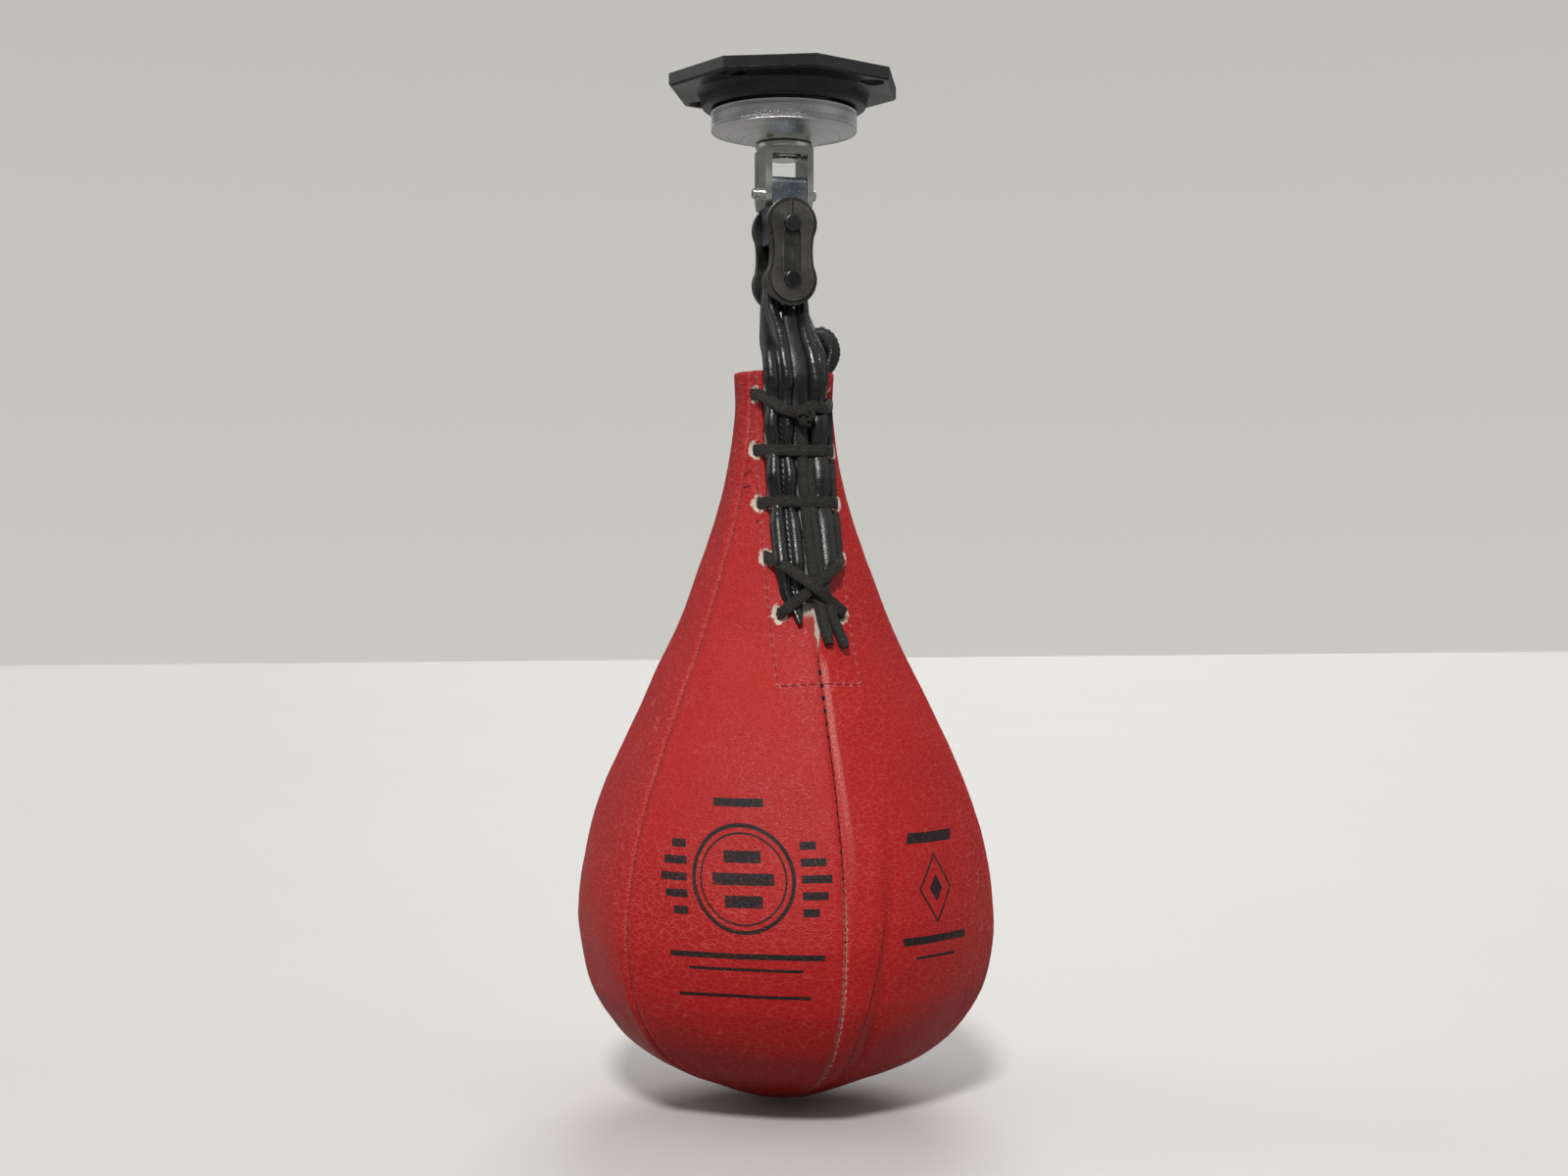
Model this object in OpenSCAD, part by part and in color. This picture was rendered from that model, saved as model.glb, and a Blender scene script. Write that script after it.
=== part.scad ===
// Speed bag with ball-bearing ceiling swivel.
// Millimetres. +Z is up. The origin is the centre of the mounting face, on top of the octagonal plate.
// The bag hangs down along -Z. Its laced front faces -Y, and its left side is -X.

/* [Mounting plate] */
// Width of the octagonal plate across its flats
plate_af = 100; // [98:1:110]
// Thickness of the plate flange
plate_t = 6; // [5.5:0.5:7]
// Diameter of the circle through the four screw holes
bolt_pcd = 90; // [88:0.5:92]
// Diameter of each screw hole
bolt_d = 6.4; // [5:0.1:7]
// Diameter of each countersink
csk_d = 12; // [10:0.5:12.5]
// Diameter of the round boss where it meets the plate
boss_d = 78; // [76:0.5:79]
// Height of the round boss below the plate
boss_h = 8; // [7.5:0.5:8.5]

/* [Swivel cap and bearing] */
// Diameter of the cap's cylindrical band
cap_d = 67; // [65:0.5:69]
// Height of the cap's cylindrical band
band_h = 9.6; // [9:0.2:10.5]
// Outer diameter of the ball bearing
bearing_od = 32; // [31:0.5:33]
// Number of balls in the bearing
ball_count = 7; // [6:1:7]
// Diameter of each ball
ball_d = 5.95; // [5.5:0.05:5.95]
// Diameter of the spindle in the bearing
spindle_d = 12; // [11.6:0.1:12]
// Diameter of the round collar above the fork
collar_d = 26; // [24:0.5:27]

/* [Fork and cross block] */
// Width of the fork along its pin
fork_w = 22.5; // [22:0.5:24]
// Depth of the fork across its pin
fork_depth = 20.5; // [20.5:0.1:21]
// Wall thickness of the fork
fork_t = 3; // [2.5:0.25:3]
// Distance from the fork's seat to the middle of its pin
fork_reach = 20.5; // [20:0.5:24]
// Diameter of the fork pin
fork_pin_d = 5; // [4:0.5:6]
// Length of the fork pin
fork_pin_len = 30; // [28:1:32]
// Distance between the fork pin and the link pin in the block
block_offset = 15; // [15:0.5:18]

/* [Chain link] */
// Distance between the two link pins
link_pitch = 25.4; // [25:0.2:28]
// Height of a link side plate, measured across the link, along X
link_h = 24; // [22:0.5:24]
// Thickness of a link side plate
link_t = 3.2; // [2.8:0.1:3.4]
// Diameter of each link pin
link_pin_d = 7.94; // [7.5:0.02:8]

/* [Bag] */
// Length of the bag from the top of its neck to its lowest point
bag_len = 331; // [320:1:345]
// Widest diameter of the bag
bag_d = 197; // [190:1:205]
// Diameter of the neck
neck_d = 45; // [44:0.5:47]
// Thickness of one leather panel with its backing
leather_t = 2; // [1.6:0.1:2.2]
// Distance from the lower link pin to the top of the neck
strap_len = 42; // [40:1:48]
// Gap between neighbouring leather panels, in degrees
seam_gap = 0.3; // [0.2:0.1:0.6]

/* [Hidden] */
$fn = 72;
fit_gap = 0.02;                              // gap between a pressed or clamped pair
turn_gap = 0.05;                             // radial gap of a turning pair

// In the names below, _top, _bot and _z are heights, and _r is a radius.

// plate and cap
plate_bot = -plate_t;
boss_bot = plate_bot - boss_h;
thread_r = 28;                               // screw joint between plate and cap
thread_gap = 0.05;                           // allowance on each side of that joint
thread_floor = -4.5;
cap_top = -5;
band_top = boss_bot - 0.7;
band_bot = band_top - band_h;
cap_r = cap_d / 2;
collar_r = collar_d / 2;
cone_r = collar_r + 0.5;
cone_slope = 14.5;                           // degrees from the horizontal
cone_bot = band_bot - (cap_r - 0.9 - cone_r) * tan(cone_slope);
cap_bore_r = 8.6;

// bearing
brg_w = 10;
brg_top = -11.8;
brg_bot = brg_top - brg_w;
brg_mid = (brg_top + brg_bot) / 2;
brg_r = bearing_od / 2;
ball_pitch_r = 11;
groove_r = ball_d / 2 + 0.055;
land_in = ball_pitch_r - 2.2;                // radii of the race faces beside the groove
land_out = ball_pitch_r + 2.2;
ring_bot = brg_top + 0.05;                   // retaining ring
ring_t = 1.1;
ring_in_r = brg_r - 2;

// spindle stack
spindle_r = spindle_d / 2;
spindle_top = -5.3;
stud_r = 4.98;                               // narrow upper end of the spindle
spindle_foot_r = 8;
collar_hub_r = 8;
washer_t = 1.5;
nut_af = 16;
nut_h = 4.6;

// fork and cross block
seat_z = cone_bot - 2.8;                     // upper face of the fork base
fork_floor = seat_z - fork_t;
fork_z = seat_z - fork_reach;
fork_pin_r = fork_pin_d / 2;
ear_in = fork_w / 2 - fork_t;                // half the space between the ears
ear_drop = 7.5;                              // from the pin axis to the flat ends of the ears
block_w = 2 * (ear_in - 0.25);
block_d = fork_depth - 0.5;
block_above = 7;                             // block above its upper axis
block_below = 8;                             // block below its lower axis
block_round = 3;

// link
link_z = fork_z - block_offset;
strap_z = link_z - link_pitch;
plate_in_y = fork_depth / 2 + 0.05;          // inner face of each side plate
plate_out_y = plate_in_y + link_t;
clip_t = 1.3;
clip_w = 19.5;
clip_window_r = 4.1;
link_pin_r = link_pin_d / 2;
link_bore_r = link_pin_r + turn_gap;         // bore that turns on a link pin

// straps
neck_z = strap_z - strap_len;
strap_t = 5;
strap_half = 9.6;                            // half the strap's width on the pin
tail_gap = 0.6;                              // from the middle plane to each leg inside the slit
tail_w = 13.4;
tail_steps = 10;
cord_r = 3.2;                                // side loop
loop_r = 5.6;
loop_leg = 30;

// bag outline stations: [radius, distance below the neck top]
neck_r = neck_d / 2;
belly_r = bag_d / 2;
STATIONS = [
    [neck_r, 0], [neck_r + 0.3, 0.07 * bag_len], [neck_r + 6, 0.17 * bag_len],
    [belly_r * 0.406, 0.269 * bag_len], [belly_r * 0.543, 0.369 * bag_len],
    [belly_r * 0.721, 0.468 * bag_len], [belly_r * 0.873, 0.568 * bag_len],
    [belly_r * 0.962, 0.655 * bag_len], [belly_r, 0.74 * bag_len],
    [belly_r * 0.98, 0.804 * bag_len], [belly_r * 0.924, 0.855 * bag_len],
    [belly_r * 0.77, 0.912 * bag_len], [belly_r * 0.487, 0.958 * bag_len], [0, bag_len]];
last_station = len(STATIONS) - 1;

// stations mirrored past each end steer the spline there
function station(i) =
    i < 0 ? [STATIONS[0][0], -STATIONS[1][1]]
    : i > last_station ? [-STATIONS[last_station - 1][0], STATIONS[last_station - 1][1]]
    : STATIONS[i];

// Catmull-Rom spline from b to c
function spline(a, b, c, d, t) = 0.5 * (2 * b + (c - a) * t
    + (2 * a - 5 * b + 4 * c - d) * t * t + (3 * b - a - 3 * c + d) * t * t * t);

substeps = 4;                                // curve points per span
pole_r = 1.5;                                // the panels' points stop just short of the axis
CURVE = concat(
    [for (i = [0:last_station - 1]) for (k = [0:substeps - 1])
        spline(station(i - 1), station(i), station(i + 1), station(i + 2), k / substeps)],
    [[pole_r, bag_len - 0.02]]);
curve_end = len(CURVE) - 1;
RADIUS_TABLE = [for (point = CURVE) [point[1], point[0]]];

// outside radius at a depth below the neck top
function radius_at(depth) = lookup(depth, RADIUS_TABLE);

// unit tangent of the curve at point i
function tangent(i) =
    let (step = CURVE[min(i + 1, curve_end)] - CURVE[max(i - 1, 0)]) step / norm(step);

// curve point i moved inward by t; the first point keeps its height
function inset(i, t) = [max(pole_r, CURVE[i][0] - t * tangent(i)[1]),
    CURVE[i][1] + t * tangent(i)[0] * (i == 0 ? 0 : 1)];

// [radius, depth] to [radius, z]
function to_z(point) = [point[0], neck_z - point[1]];

// lacing rows: [distance below the neck top, half the distance between the two holes]
ROWS = [[10.6, 18], [36, 18], [60, 18], [84, 17.5], [109, 14.5]];
slit_half = 15.5;
slit_end = 129;                              // depth of the slit's point
slit_taper = 21;                             // height of its pointed end
lace_r = 1.4;

// lining behind the slit: half widths, and depths below the neck top
lining_half = 21;
lining_end = 141;
opening_half = 14.8;
opening_end = 112;

// bladder
bladder_t = 1.1;
bladder_inset = 4.5;
stem_r = 5;
stem_z = neck_z - 70;                        // top of the stem

// ---- shared shapes ----------------------------------------------------------

module ring(inner_r, outer_r, z0, z1) {
    translate([0, 0, z0]) difference() {
        cylinder(r = outer_r, h = z1 - z0);
        translate([0, 0, -1]) cylinder(r = inner_r, h = z1 - z0 + 2);
    }
}

module along_y(r, y0, y1) { translate([0, y1, 0]) rotate([90, 0, 0]) cylinder(r = r, h = y1 - y0); }
module along_x(r, x0, x1) { translate([x0, 0, 0]) rotate([0, 90, 0]) cylinder(r = r, h = x1 - x0); }

module rod(from, to, r) {
    span = to - from;
    translate(from) rotate([0, acos(span[2] / norm(span)), atan2(span[1], span[0])])
        cylinder(r = r, h = norm(span), $fn = 24);
}

// slab with a [y, z] outline, reaching from x towards +X
module yz_slab(x, thickness, points)
    translate([x, 0, 0]) rotate([90, 0, 90]) linear_extrude(thickness) polygon(points);

// ---- plate, cap and bearing -------------------------------------------------

module base_plate() color("#1d1e20") difference() {
    edge = boss_d / 2;
    union() {
        translate([0, 0, plate_bot])
            cylinder(r = plate_af / 2 / cos(22.5), h = plate_t, $fn = 8);
        // boss, flared at its root and rounded at its lower edge
        rotate_extrude() polygon([
            [thread_r - 3, plate_bot + 1], [edge + 2.5, plate_bot + 1],
            [edge + 2.5, plate_bot], [edge + 0.8, plate_bot - 0.6],
            [edge - 0.2, plate_bot - 1.8], [edge - 1, boss_bot + 2.6],
            [edge - 1.6, boss_bot + 1.1], [edge - 2.9, boss_bot + 0.2],
            [edge - 4.2, boss_bot], [thread_r - 3, boss_bot]]);
    }
    // chamfer round the lower edge of the flange
    for (k = [0:7]) rotate([0, 0, 45 * k + 22.5]) translate([plate_af / 2, 0, plate_bot])
        rotate([0, 45, 0]) cube([1.4, 90, 1.4], center = true);
    // threaded socket for the cap, with a relief at its mouth
    translate([0, 0, boss_bot - 1])
        cylinder(r = thread_r + thread_gap, h = thread_floor - boss_bot + 1);
    translate([0, 0, boss_bot - 1]) cylinder(r = thread_r + 1.2, h = 2.2);
    // screw holes, countersunk from below
    for (k = [0:3]) rotate([0, 0, 45 + 90 * k]) translate([bolt_pcd / 2, 0, 0]) {
        translate([0, 0, -plate_t - 1]) cylinder(r = bolt_d / 2, h = plate_t + 2);
        translate([0, 0, plate_bot - 0.01])
            cylinder(r1 = csk_d / 2, r2 = bolt_d / 2, h = (csk_d - bolt_d) / 2);
    }
}

module swivel_cap() color("#c9cbce") {
    recess_r = 13.4;                         // recess under the bearing
    recess_bot = brg_bot - 2.7;
    groove_out = brg_r + 0.85;               // groove for the retaining ring
    groove_top = brg_top + 1.2;
    rotate_extrude($fn = 120) polygon([
        [brg_r, cap_top], [thread_r - 0.5, cap_top], [thread_r - thread_gap, cap_top - 0.6],
        [thread_r - thread_gap, band_top - 0.02], [cap_r - 0.7, band_top],
        [cap_r, band_top - 0.7], [cap_r, band_bot + 0.7], [cap_r - 0.9, band_bot],
        [cone_r, cone_bot], [cap_bore_r, cone_bot],
        [cap_bore_r, recess_bot], [recess_r, recess_bot], [recess_r, brg_bot], [brg_r, brg_bot],
        [brg_r, brg_top], [groove_out, brg_top], [groove_out, groove_top], [brg_r, groove_top]]);
}

module race(inner_r, outer_r) rotate_extrude($fn = 96) difference() {
    translate([inner_r, brg_bot]) square([outer_r - inner_r, brg_w]);
    translate([ball_pitch_r, brg_mid]) circle(r = groove_r, $fn = 48);
}

module bearing_outer_race() color("#a9adb2") race(land_out, brg_r - fit_gap);
module bearing_inner_race() color("#a9adb2") race(spindle_r + fit_gap, land_in);

module bearing_balls() color("#d8dadd") for (k = [0:ball_count - 1])
    rotate([0, 0, 360 / ball_count * k]) translate([ball_pitch_r, 0, brg_mid])
        sphere(d = ball_d, $fn = 48);

module bearing_cage() color("#9c9ea1") difference() {
    ring(ball_pitch_r - 1.5, ball_pitch_r + 1.5, brg_mid - 2.1, brg_mid + 2.1);
    for (k = [0:ball_count - 1]) rotate([0, 0, 360 / ball_count * k])
        translate([ball_pitch_r, 0, brg_mid]) sphere(r = ball_d / 2 + 0.15, $fn = 48);
}

// open ring with its gap at the back and a holed lug on each side of the gap
module retaining_ring() color("#3c3f43") difference() {
    lug_angle = 17;
    union() {
        ring(ring_in_r, brg_r + 0.8, ring_bot, ring_bot + ring_t);
        for (side = [-1, 1]) rotate([0, 0, 90 + lug_angle * side])
            translate([ring_in_r, 0, ring_bot]) cylinder(r = 2.1, h = ring_t, $fn = 32);
    }
    rotate([0, 0, 90]) translate([brg_r, 0, brg_top + 0.6]) cube([16, 5, 4], center = true);
    for (side = [-1, 1]) rotate([0, 0, 90 + lug_angle * side])
        translate([ring_in_r - 0.1, 0, brg_top - 1]) cylinder(r = 0.8, h = 4, $fn = 24);
}

// ---- spindle, fork and block ------------------------------------------------

module spindle() color("#9aa0a0") rotate_extrude() polygon([
    [0, spindle_top], [4.3, spindle_top], [stud_r, spindle_top - 0.7], [stud_r, brg_top - 0.3],
    [spindle_r, brg_top - 0.3], [spindle_r, fork_floor], [spindle_foot_r, fork_floor],
    [spindle_foot_r, fork_floor - 0.9], [6.6, fork_floor - 1.8], [0, fork_floor - 1.8]]);

module spindle_washer() color("#b7babd") ring(stud_r + 0.1, 10, brg_top, brg_top + washer_t);

module spindle_nut() color("#b7babd") difference() {
    translate([0, 0, brg_top + washer_t]) cylinder(r = nut_af / 2 / cos(30), h = nut_h, $fn = 6);
    translate([0, 0, brg_top + 1]) cylinder(r = stud_r + fit_gap, h = 6);
}

module spindle_collar() color("#8f9a8c") {
    collar_top = cone_bot - 0.3;
    rotate_extrude() polygon([
        [spindle_r + fit_gap, brg_bot], [collar_hub_r, brg_bot], [collar_hub_r, collar_top],
        [collar_r - 0.5, collar_top], [collar_r, collar_top - 0.5],
        [collar_r, seat_z + 0.4], [collar_r - 0.4, seat_z], [spindle_r + fit_gap, seat_z]]);
}

module fork() color("#9ba29a") difference() {
    intersection() {
        translate([-fork_w / 2, -fork_depth / 2, fork_z - ear_drop])
            cube([fork_w, fork_depth, seat_z - fork_z + ear_drop]);
        // rounds the ears about the pin
        union() {
            translate([0, 0, fork_z]) along_x(fork_depth / 2, -fork_w, fork_w);
            translate([-fork_w, -fork_depth, fork_z]) cube([2 * fork_w, 2 * fork_depth, 60]);
        }
    }
    translate([-ear_in, -fork_depth, fork_z - 30])
        cube([2 * ear_in, 2 * fork_depth, fork_floor - fork_z + 30]);
    translate([0, 0, fork_floor - 5]) cylinder(r = spindle_r + fit_gap, h = 20);
    translate([0, 0, fork_z]) along_x(fork_pin_r + fit_gap, -fork_w, fork_w);
}

// pin with a shallow groove near each end
module fork_pin() color("#c4c6c8") {
    r = fork_pin_r;
    end = fork_pin_len / 2;
    half = [[r, end - 2.3], [r - 0.35, end - 2.1], [r - 0.35, end - 1.5], [r, end - 1.3],
        [r, end - 0.5], [r - 0.5, end], [0, end]];
    translate([0, 0, fork_z]) rotate([0, 90, 0]) rotate_extrude()
        polygon(concat([for (i = [len(half) - 1:-1:0]) [half[i][0], -half[i][1]]], half));
}

module cross_block() color("#8b93a3") difference() {
    bottom = link_z - block_below;
    height = block_offset + block_below + block_above;
    y = block_d / 2;
    union() {
        translate([-block_w / 2, -y + block_round, bottom])
            cube([block_w, 2 * y - 2 * block_round, height]);
        translate([-block_w / 2, -y, bottom + block_round])
            cube([block_w, 2 * y, height - 2 * block_round]);
        for (side = [-1, 1]) for (z = [bottom + block_round, fork_z + block_above - block_round])
            translate([0, side * (y - block_round), z])
                along_x(block_round, -block_w / 2, block_w / 2);
    }
    translate([0, 0, fork_z]) along_x(fork_pin_r + turn_gap, -20, 20);
    translate([0, 0, link_z]) along_y(link_bore_r, -20, 20);
}

// ---- chain link -------------------------------------------------------------

// waisted outline of a link plate, with its upper pin at the origin and its lower pin below
module link_outline(width, waist) {
    end_r = width / 2;
    half_pitch = link_pitch / 2;
    waist_r = (half_pitch * half_pitch + waist * waist) / (2 * waist);
    circle(r = end_r);
    translate([0, -link_pitch]) circle(r = end_r);
    difference() {
        translate([-end_r, -link_pitch]) square([2 * end_r, link_pitch]);
        for (side = [-1, 1]) translate([side * (end_r - waist + waist_r), -half_pitch])
            circle(r = waist_r, $fn = 160);
    }
}

// front_y is the plate's face nearer the front
module side_plate(front_y) translate([0, front_y + link_t, link_z]) rotate([90, 0, 0])
    linear_extrude(link_t) difference() {
        link_outline(link_h, 2);
        circle(r = link_pin_r + fit_gap);
        translate([0, -link_pitch]) circle(r = link_pin_r + fit_gap);
    }

module link_back_plate() color("#4a4c4e") side_plate(plate_in_y);
module link_front_plate() color("#4f5153") side_plate(-plate_out_y);

// headed at the back, grooved for the spring clip at the front
module link_pin(z) {
    face = plate_out_y;
    r = link_pin_r;
    groove_end = face + clip_t + 0.15;
    translate([0, 0, z]) rotate([90, 0, 0]) rotate_extrude() polygon([
        [0, -face - 1.3], [r - 0.8, -face - 1.3], [r - 0.2, -face - 0.5], [r, -face],
        [r, face + 0.05], [r - 0.95, face + 0.05], [r - 0.95, groove_end], [r, groove_end],
        [r, face + clip_t + 1.3], [r - 0.6, face + clip_t + 1.8], [0, face + clip_t + 1.8]]);
}

module link_pin_upper() color("#3e4042") link_pin(link_z);
module link_pin_lower() color("#3e4042") link_pin(strap_z);

module spring_clip() color("#5a5b5a") translate([0, -plate_out_y - 0.1, link_z])
    rotate([90, 0, 0]) linear_extrude(clip_t) difference() {
        link_outline(clip_w, 1.6);
        circle(r = link_pin_r - 0.9);
        translate([0, -link_pitch]) circle(r = link_pin_r - 0.9);
        // window between the pins, rounded where it reaches the upper one
        translate([-clip_window_r, -link_pitch + 3.2])
            square([2 * clip_window_r, link_pitch - 8.4]);
        intersection() {
            translate([0, -5.4]) circle(r = clip_window_r);
            translate([-clip_window_r, -5.4]) square([2 * clip_window_r, clip_window_r]);
        }
        // split through the upper end
        translate([-0.5, 0]) square([1, 14]);
    }

// ---- bag --------------------------------------------------------------------

module slit() translate([0, 0, neck_z]) rotate([90, 0, 0]) linear_extrude(90) polygon([
    [-slit_half, 2], [slit_half, 2], [slit_half - 0.5, -slit_end + slit_taper],
    [0, -slit_end], [-slit_half + 0.5, -slit_end + slit_taper]]);

// radial holes on the given sides: -1 is left, 1 is right
module lace_holes(r, sides) for (row = ROWS) for (side = sides)
    translate([0, 0, neck_z - row[0]])
        rotate([0, 0, -90 + side * asin(row[1] / radius_at(row[0]))]) along_x(r, 5, 90);

// shell between two insets from the outside surface, from the neck top to curve point `last`
module shell(outer_inset, inner_inset, last, angle0, angle1)
    rotate([0, 0, angle0]) rotate_extrude(angle = angle1 - angle0, $fn = 120) polygon(concat(
        [for (i = [0:last]) to_z(outer_inset == 0 ? CURVE[i] : inset(i, outer_inset))],
        [for (i = [last:-1:0]) to_z(inset(i, inner_inset))]));

// one of six leather panels, starting at an angle from +X
module panel(start)
    shell(0, leather_t, curve_end, start + seam_gap / 2, start + 60 - seam_gap / 2);

// panel with its part of the slit and its lace holes
module front_panel(start, side) difference() {
    panel(start);
    slit();
    lace_holes(2, [side]);
}

module panel_front_left() color("#b52a2b") front_panel(-150, -1);
module panel_front_right() color("#b52a2b") front_panel(-90, 1);
module panel_right() color("#b02829") panel(-30);
module panel_back_right() color("#ab2728") panel(30);
module panel_back_left() color("#ab2728") panel(90);
module panel_left() color("#b02829") panel(150);

// backing behind the lacing: it closes the foot of the slit, and the strap lies between its strips
module neck_lining() color("#cfc7b8") difference() {
    intersection() {
        shell(leather_t + 0.1, leather_t + 0.9, 26, -154, -26);
        translate([-lining_half, -80, neck_z - lining_end])
            cube([2 * lining_half, 80, lining_end - 0.5]);
    }
    translate([-opening_half, -80, neck_z - opening_end])
        cube([2 * opening_half, 80, opening_end + 1]);
    lace_holes(2.2, [-1, 1]);
}

// [y, z] of a strap tail's edge at step i, offset inward from the bag's front surface
function tail_point(i, offset) =
    let (depth = 2 + i * 10.7) [-radius_at(depth) + offset, neck_z - depth];

// the taut strap: a loop round the lower link pin and two legs that run down into the laced slit
module hang_strap() color("#17181a") difference() {
    union() {
        translate([0, 0, strap_z]) along_y(link_bore_r + strap_t, -strap_half, strap_half);
        for (side = [-1, 1]) {
            yz_slab(side > 0 ? link_bore_r : -link_bore_r - strap_t, strap_t, [
                [-strap_half, strap_z], [strap_half, strap_z], [4, strap_z - 13],
                [-8, neck_z + 20], [-neck_r + 6, neck_z - 1], [-neck_r + 5, neck_z - 3],
                [-neck_r - 2, neck_z - 3], [-neck_r - 2, neck_z + 1],
                [-16, neck_z + 20], [-10, strap_z - 14]]);
            yz_slab(side > 0 ? tail_gap : -tail_gap - tail_w, tail_w, concat(
                [for (i = [0:tail_steps]) tail_point(i, -3)],
                [for (i = [tail_steps:-1:0]) tail_point(i, 5)]));
        }
    }
    translate([0, 0, strap_z]) along_y(link_bore_r, -20, 20);
}

// the slack loop that stands beside the taut strap
module side_loop() color("#17181a") translate([10.8, -3, neck_z + 11]) rotate([90, 0, 0]) {
    rotate_extrude(angle = 180) translate([loop_r, 0]) circle(r = cord_r, $fn = 32);
    for (x = [-loop_r, loop_r]) translate([x, 0, 0]) rotate([90, 0, 0])
        cylinder(r = cord_r, h = loop_leg, $fn = 32);
}

// place in front of the bag, at a depth below the neck top
function lace_point(depth, x, lift) = [x, -radius_at(depth) - 3 - lift, neck_z - depth];
function hole_point(row, side, lift) = lace_point(ROWS[row][0], side * ROWS[row][1], lift);

module lace() color("#202124") {
    // three level runs, then one crossing
    for (row = [0:2]) rod(hole_point(row, -1, 2), hole_point(row, 1, 2), lace_r);
    for (side = [-1, 1]) rod(hole_point(3, side, 2.2), hole_point(4, -side, 2.2), lace_r);
    // ball below the top run
    translate(lace_point(ROWS[0][0] + 3, 0, 4.4)) sphere(r = 3.6, $fn = 32);
    // two short ends over the crossing and below it
    rod(lace_point(100, -1, 5.2), lace_point(124, -3, 2.6), lace_r);
    rod(lace_point(100, 2, 5.2), lace_point(125, 6, 2.6), lace_r);
}

// solid half outline of the bladder, shrunk by t; the shrunk one runs out through the stem's top
module bladder_outline(t) {
    outline_top = stem_z + (t > 0 ? 1 : 0);
    polygon(concat(
        [[0, to_z(CURVE[curve_end])[1] + 6 + t]],
        [for (i = [curve_end - 2:-1:18]) to_z(inset(i, bladder_inset + t))],
        [[24 - t, neck_z - 122 - t], [8 - t, neck_z - 112 - t], [stem_r - t, neck_z - 106 - t],
            [stem_r - t, outline_top], [0, outline_top]]));
}

// rubber bladder, open at its stem, which the valve plugs
module bladder() color("#2a2623") rotate_extrude($fn = 96) difference() {
    bladder_outline(0);
    bladder_outline(bladder_t);
}

module bladder_valve() color("#5a5650") difference() {
    plug_r = stem_r - bladder_t - 0.05;
    flange_r = 5.2;
    flange_z = stem_z + 0.05;
    rotate_extrude($fn = 48) polygon([
        [0, stem_z - 14], [2.6, stem_z - 14], [plug_r, stem_z - 12.5], [plug_r, flange_z],
        [flange_r, flange_z], [flange_r, stem_z + 1.4], [4.6, stem_z + 2], [0, stem_z + 2]]);
    translate([0, 0, stem_z - 20]) cylinder(r = 0.6, h = 40, $fn = 24);
}

base_plate();
swivel_cap();
bearing_outer_race();
bearing_balls();
bearing_cage();
bearing_inner_race();
retaining_ring();
spindle();
spindle_washer();
spindle_nut();
spindle_collar();
fork();
fork_pin();
cross_block();
link_back_plate();
link_front_plate();
link_pin_upper();
link_pin_lower();
spring_clip();
hang_strap();
side_loop();
lace();
neck_lining();
panel_front_left();
panel_front_right();
panel_right();
panel_back_right();
panel_back_left();
panel_left();
bladder();
bladder_valve();
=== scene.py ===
"""A red leather bag of six sewn panels, laced at the front and hung by its strap from a swivel.

Z is up and is the axis of the bag and the swivel. The laced front faces -Y, and +X is to the
right seen from the front. Sizes are in millimetres until a mesh is made. "Down" is the distance
below the neck's top, "arc" the length along the outline, and angles round the bag run from the
front, positive to the right.
"""

import math

import bmesh
import bpy
import numpy as np
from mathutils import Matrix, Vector, noise
from mathutils.bvhtree import BVHTree

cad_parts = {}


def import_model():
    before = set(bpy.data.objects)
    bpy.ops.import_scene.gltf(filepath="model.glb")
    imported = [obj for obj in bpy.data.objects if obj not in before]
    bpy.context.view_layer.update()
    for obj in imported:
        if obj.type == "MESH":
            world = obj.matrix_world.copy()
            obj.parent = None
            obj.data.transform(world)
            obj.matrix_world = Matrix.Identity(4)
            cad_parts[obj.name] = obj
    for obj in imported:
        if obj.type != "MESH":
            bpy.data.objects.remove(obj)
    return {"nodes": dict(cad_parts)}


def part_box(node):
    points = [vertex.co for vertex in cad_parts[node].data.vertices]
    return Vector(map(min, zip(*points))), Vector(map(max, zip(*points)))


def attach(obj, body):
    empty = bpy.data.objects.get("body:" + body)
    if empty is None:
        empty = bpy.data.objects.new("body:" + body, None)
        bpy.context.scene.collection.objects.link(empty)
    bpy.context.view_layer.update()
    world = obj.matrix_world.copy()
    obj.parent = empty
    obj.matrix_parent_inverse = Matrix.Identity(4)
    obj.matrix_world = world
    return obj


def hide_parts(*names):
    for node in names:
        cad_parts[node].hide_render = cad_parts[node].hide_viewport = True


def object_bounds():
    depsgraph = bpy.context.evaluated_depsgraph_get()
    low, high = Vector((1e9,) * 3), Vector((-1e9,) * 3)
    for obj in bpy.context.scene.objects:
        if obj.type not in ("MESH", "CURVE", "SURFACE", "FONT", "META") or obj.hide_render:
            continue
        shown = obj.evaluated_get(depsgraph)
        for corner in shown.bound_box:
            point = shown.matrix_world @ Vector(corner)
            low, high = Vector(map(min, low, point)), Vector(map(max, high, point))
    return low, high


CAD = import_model()["nodes"]
CAD_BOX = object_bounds()
MM = 0.001
TURN = 2 * math.pi
scene = bpy.context.scene

# Places taken from the CAD
NECK_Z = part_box("panel_left")[1].z / MM
PIN_LOW, PIN_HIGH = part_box("link_pin_lower")
STRAP_PIN_Z = (PIN_LOW.z + PIN_HIGH.z) / 2 / MM
STRAP_PIN_R = (PIN_HIGH.x - PIN_LOW.x) / 2 / MM

# The bag
BAG_LENGTH, NECK_R, BELLY_R = 331.0, 22.5, 98.5
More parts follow.
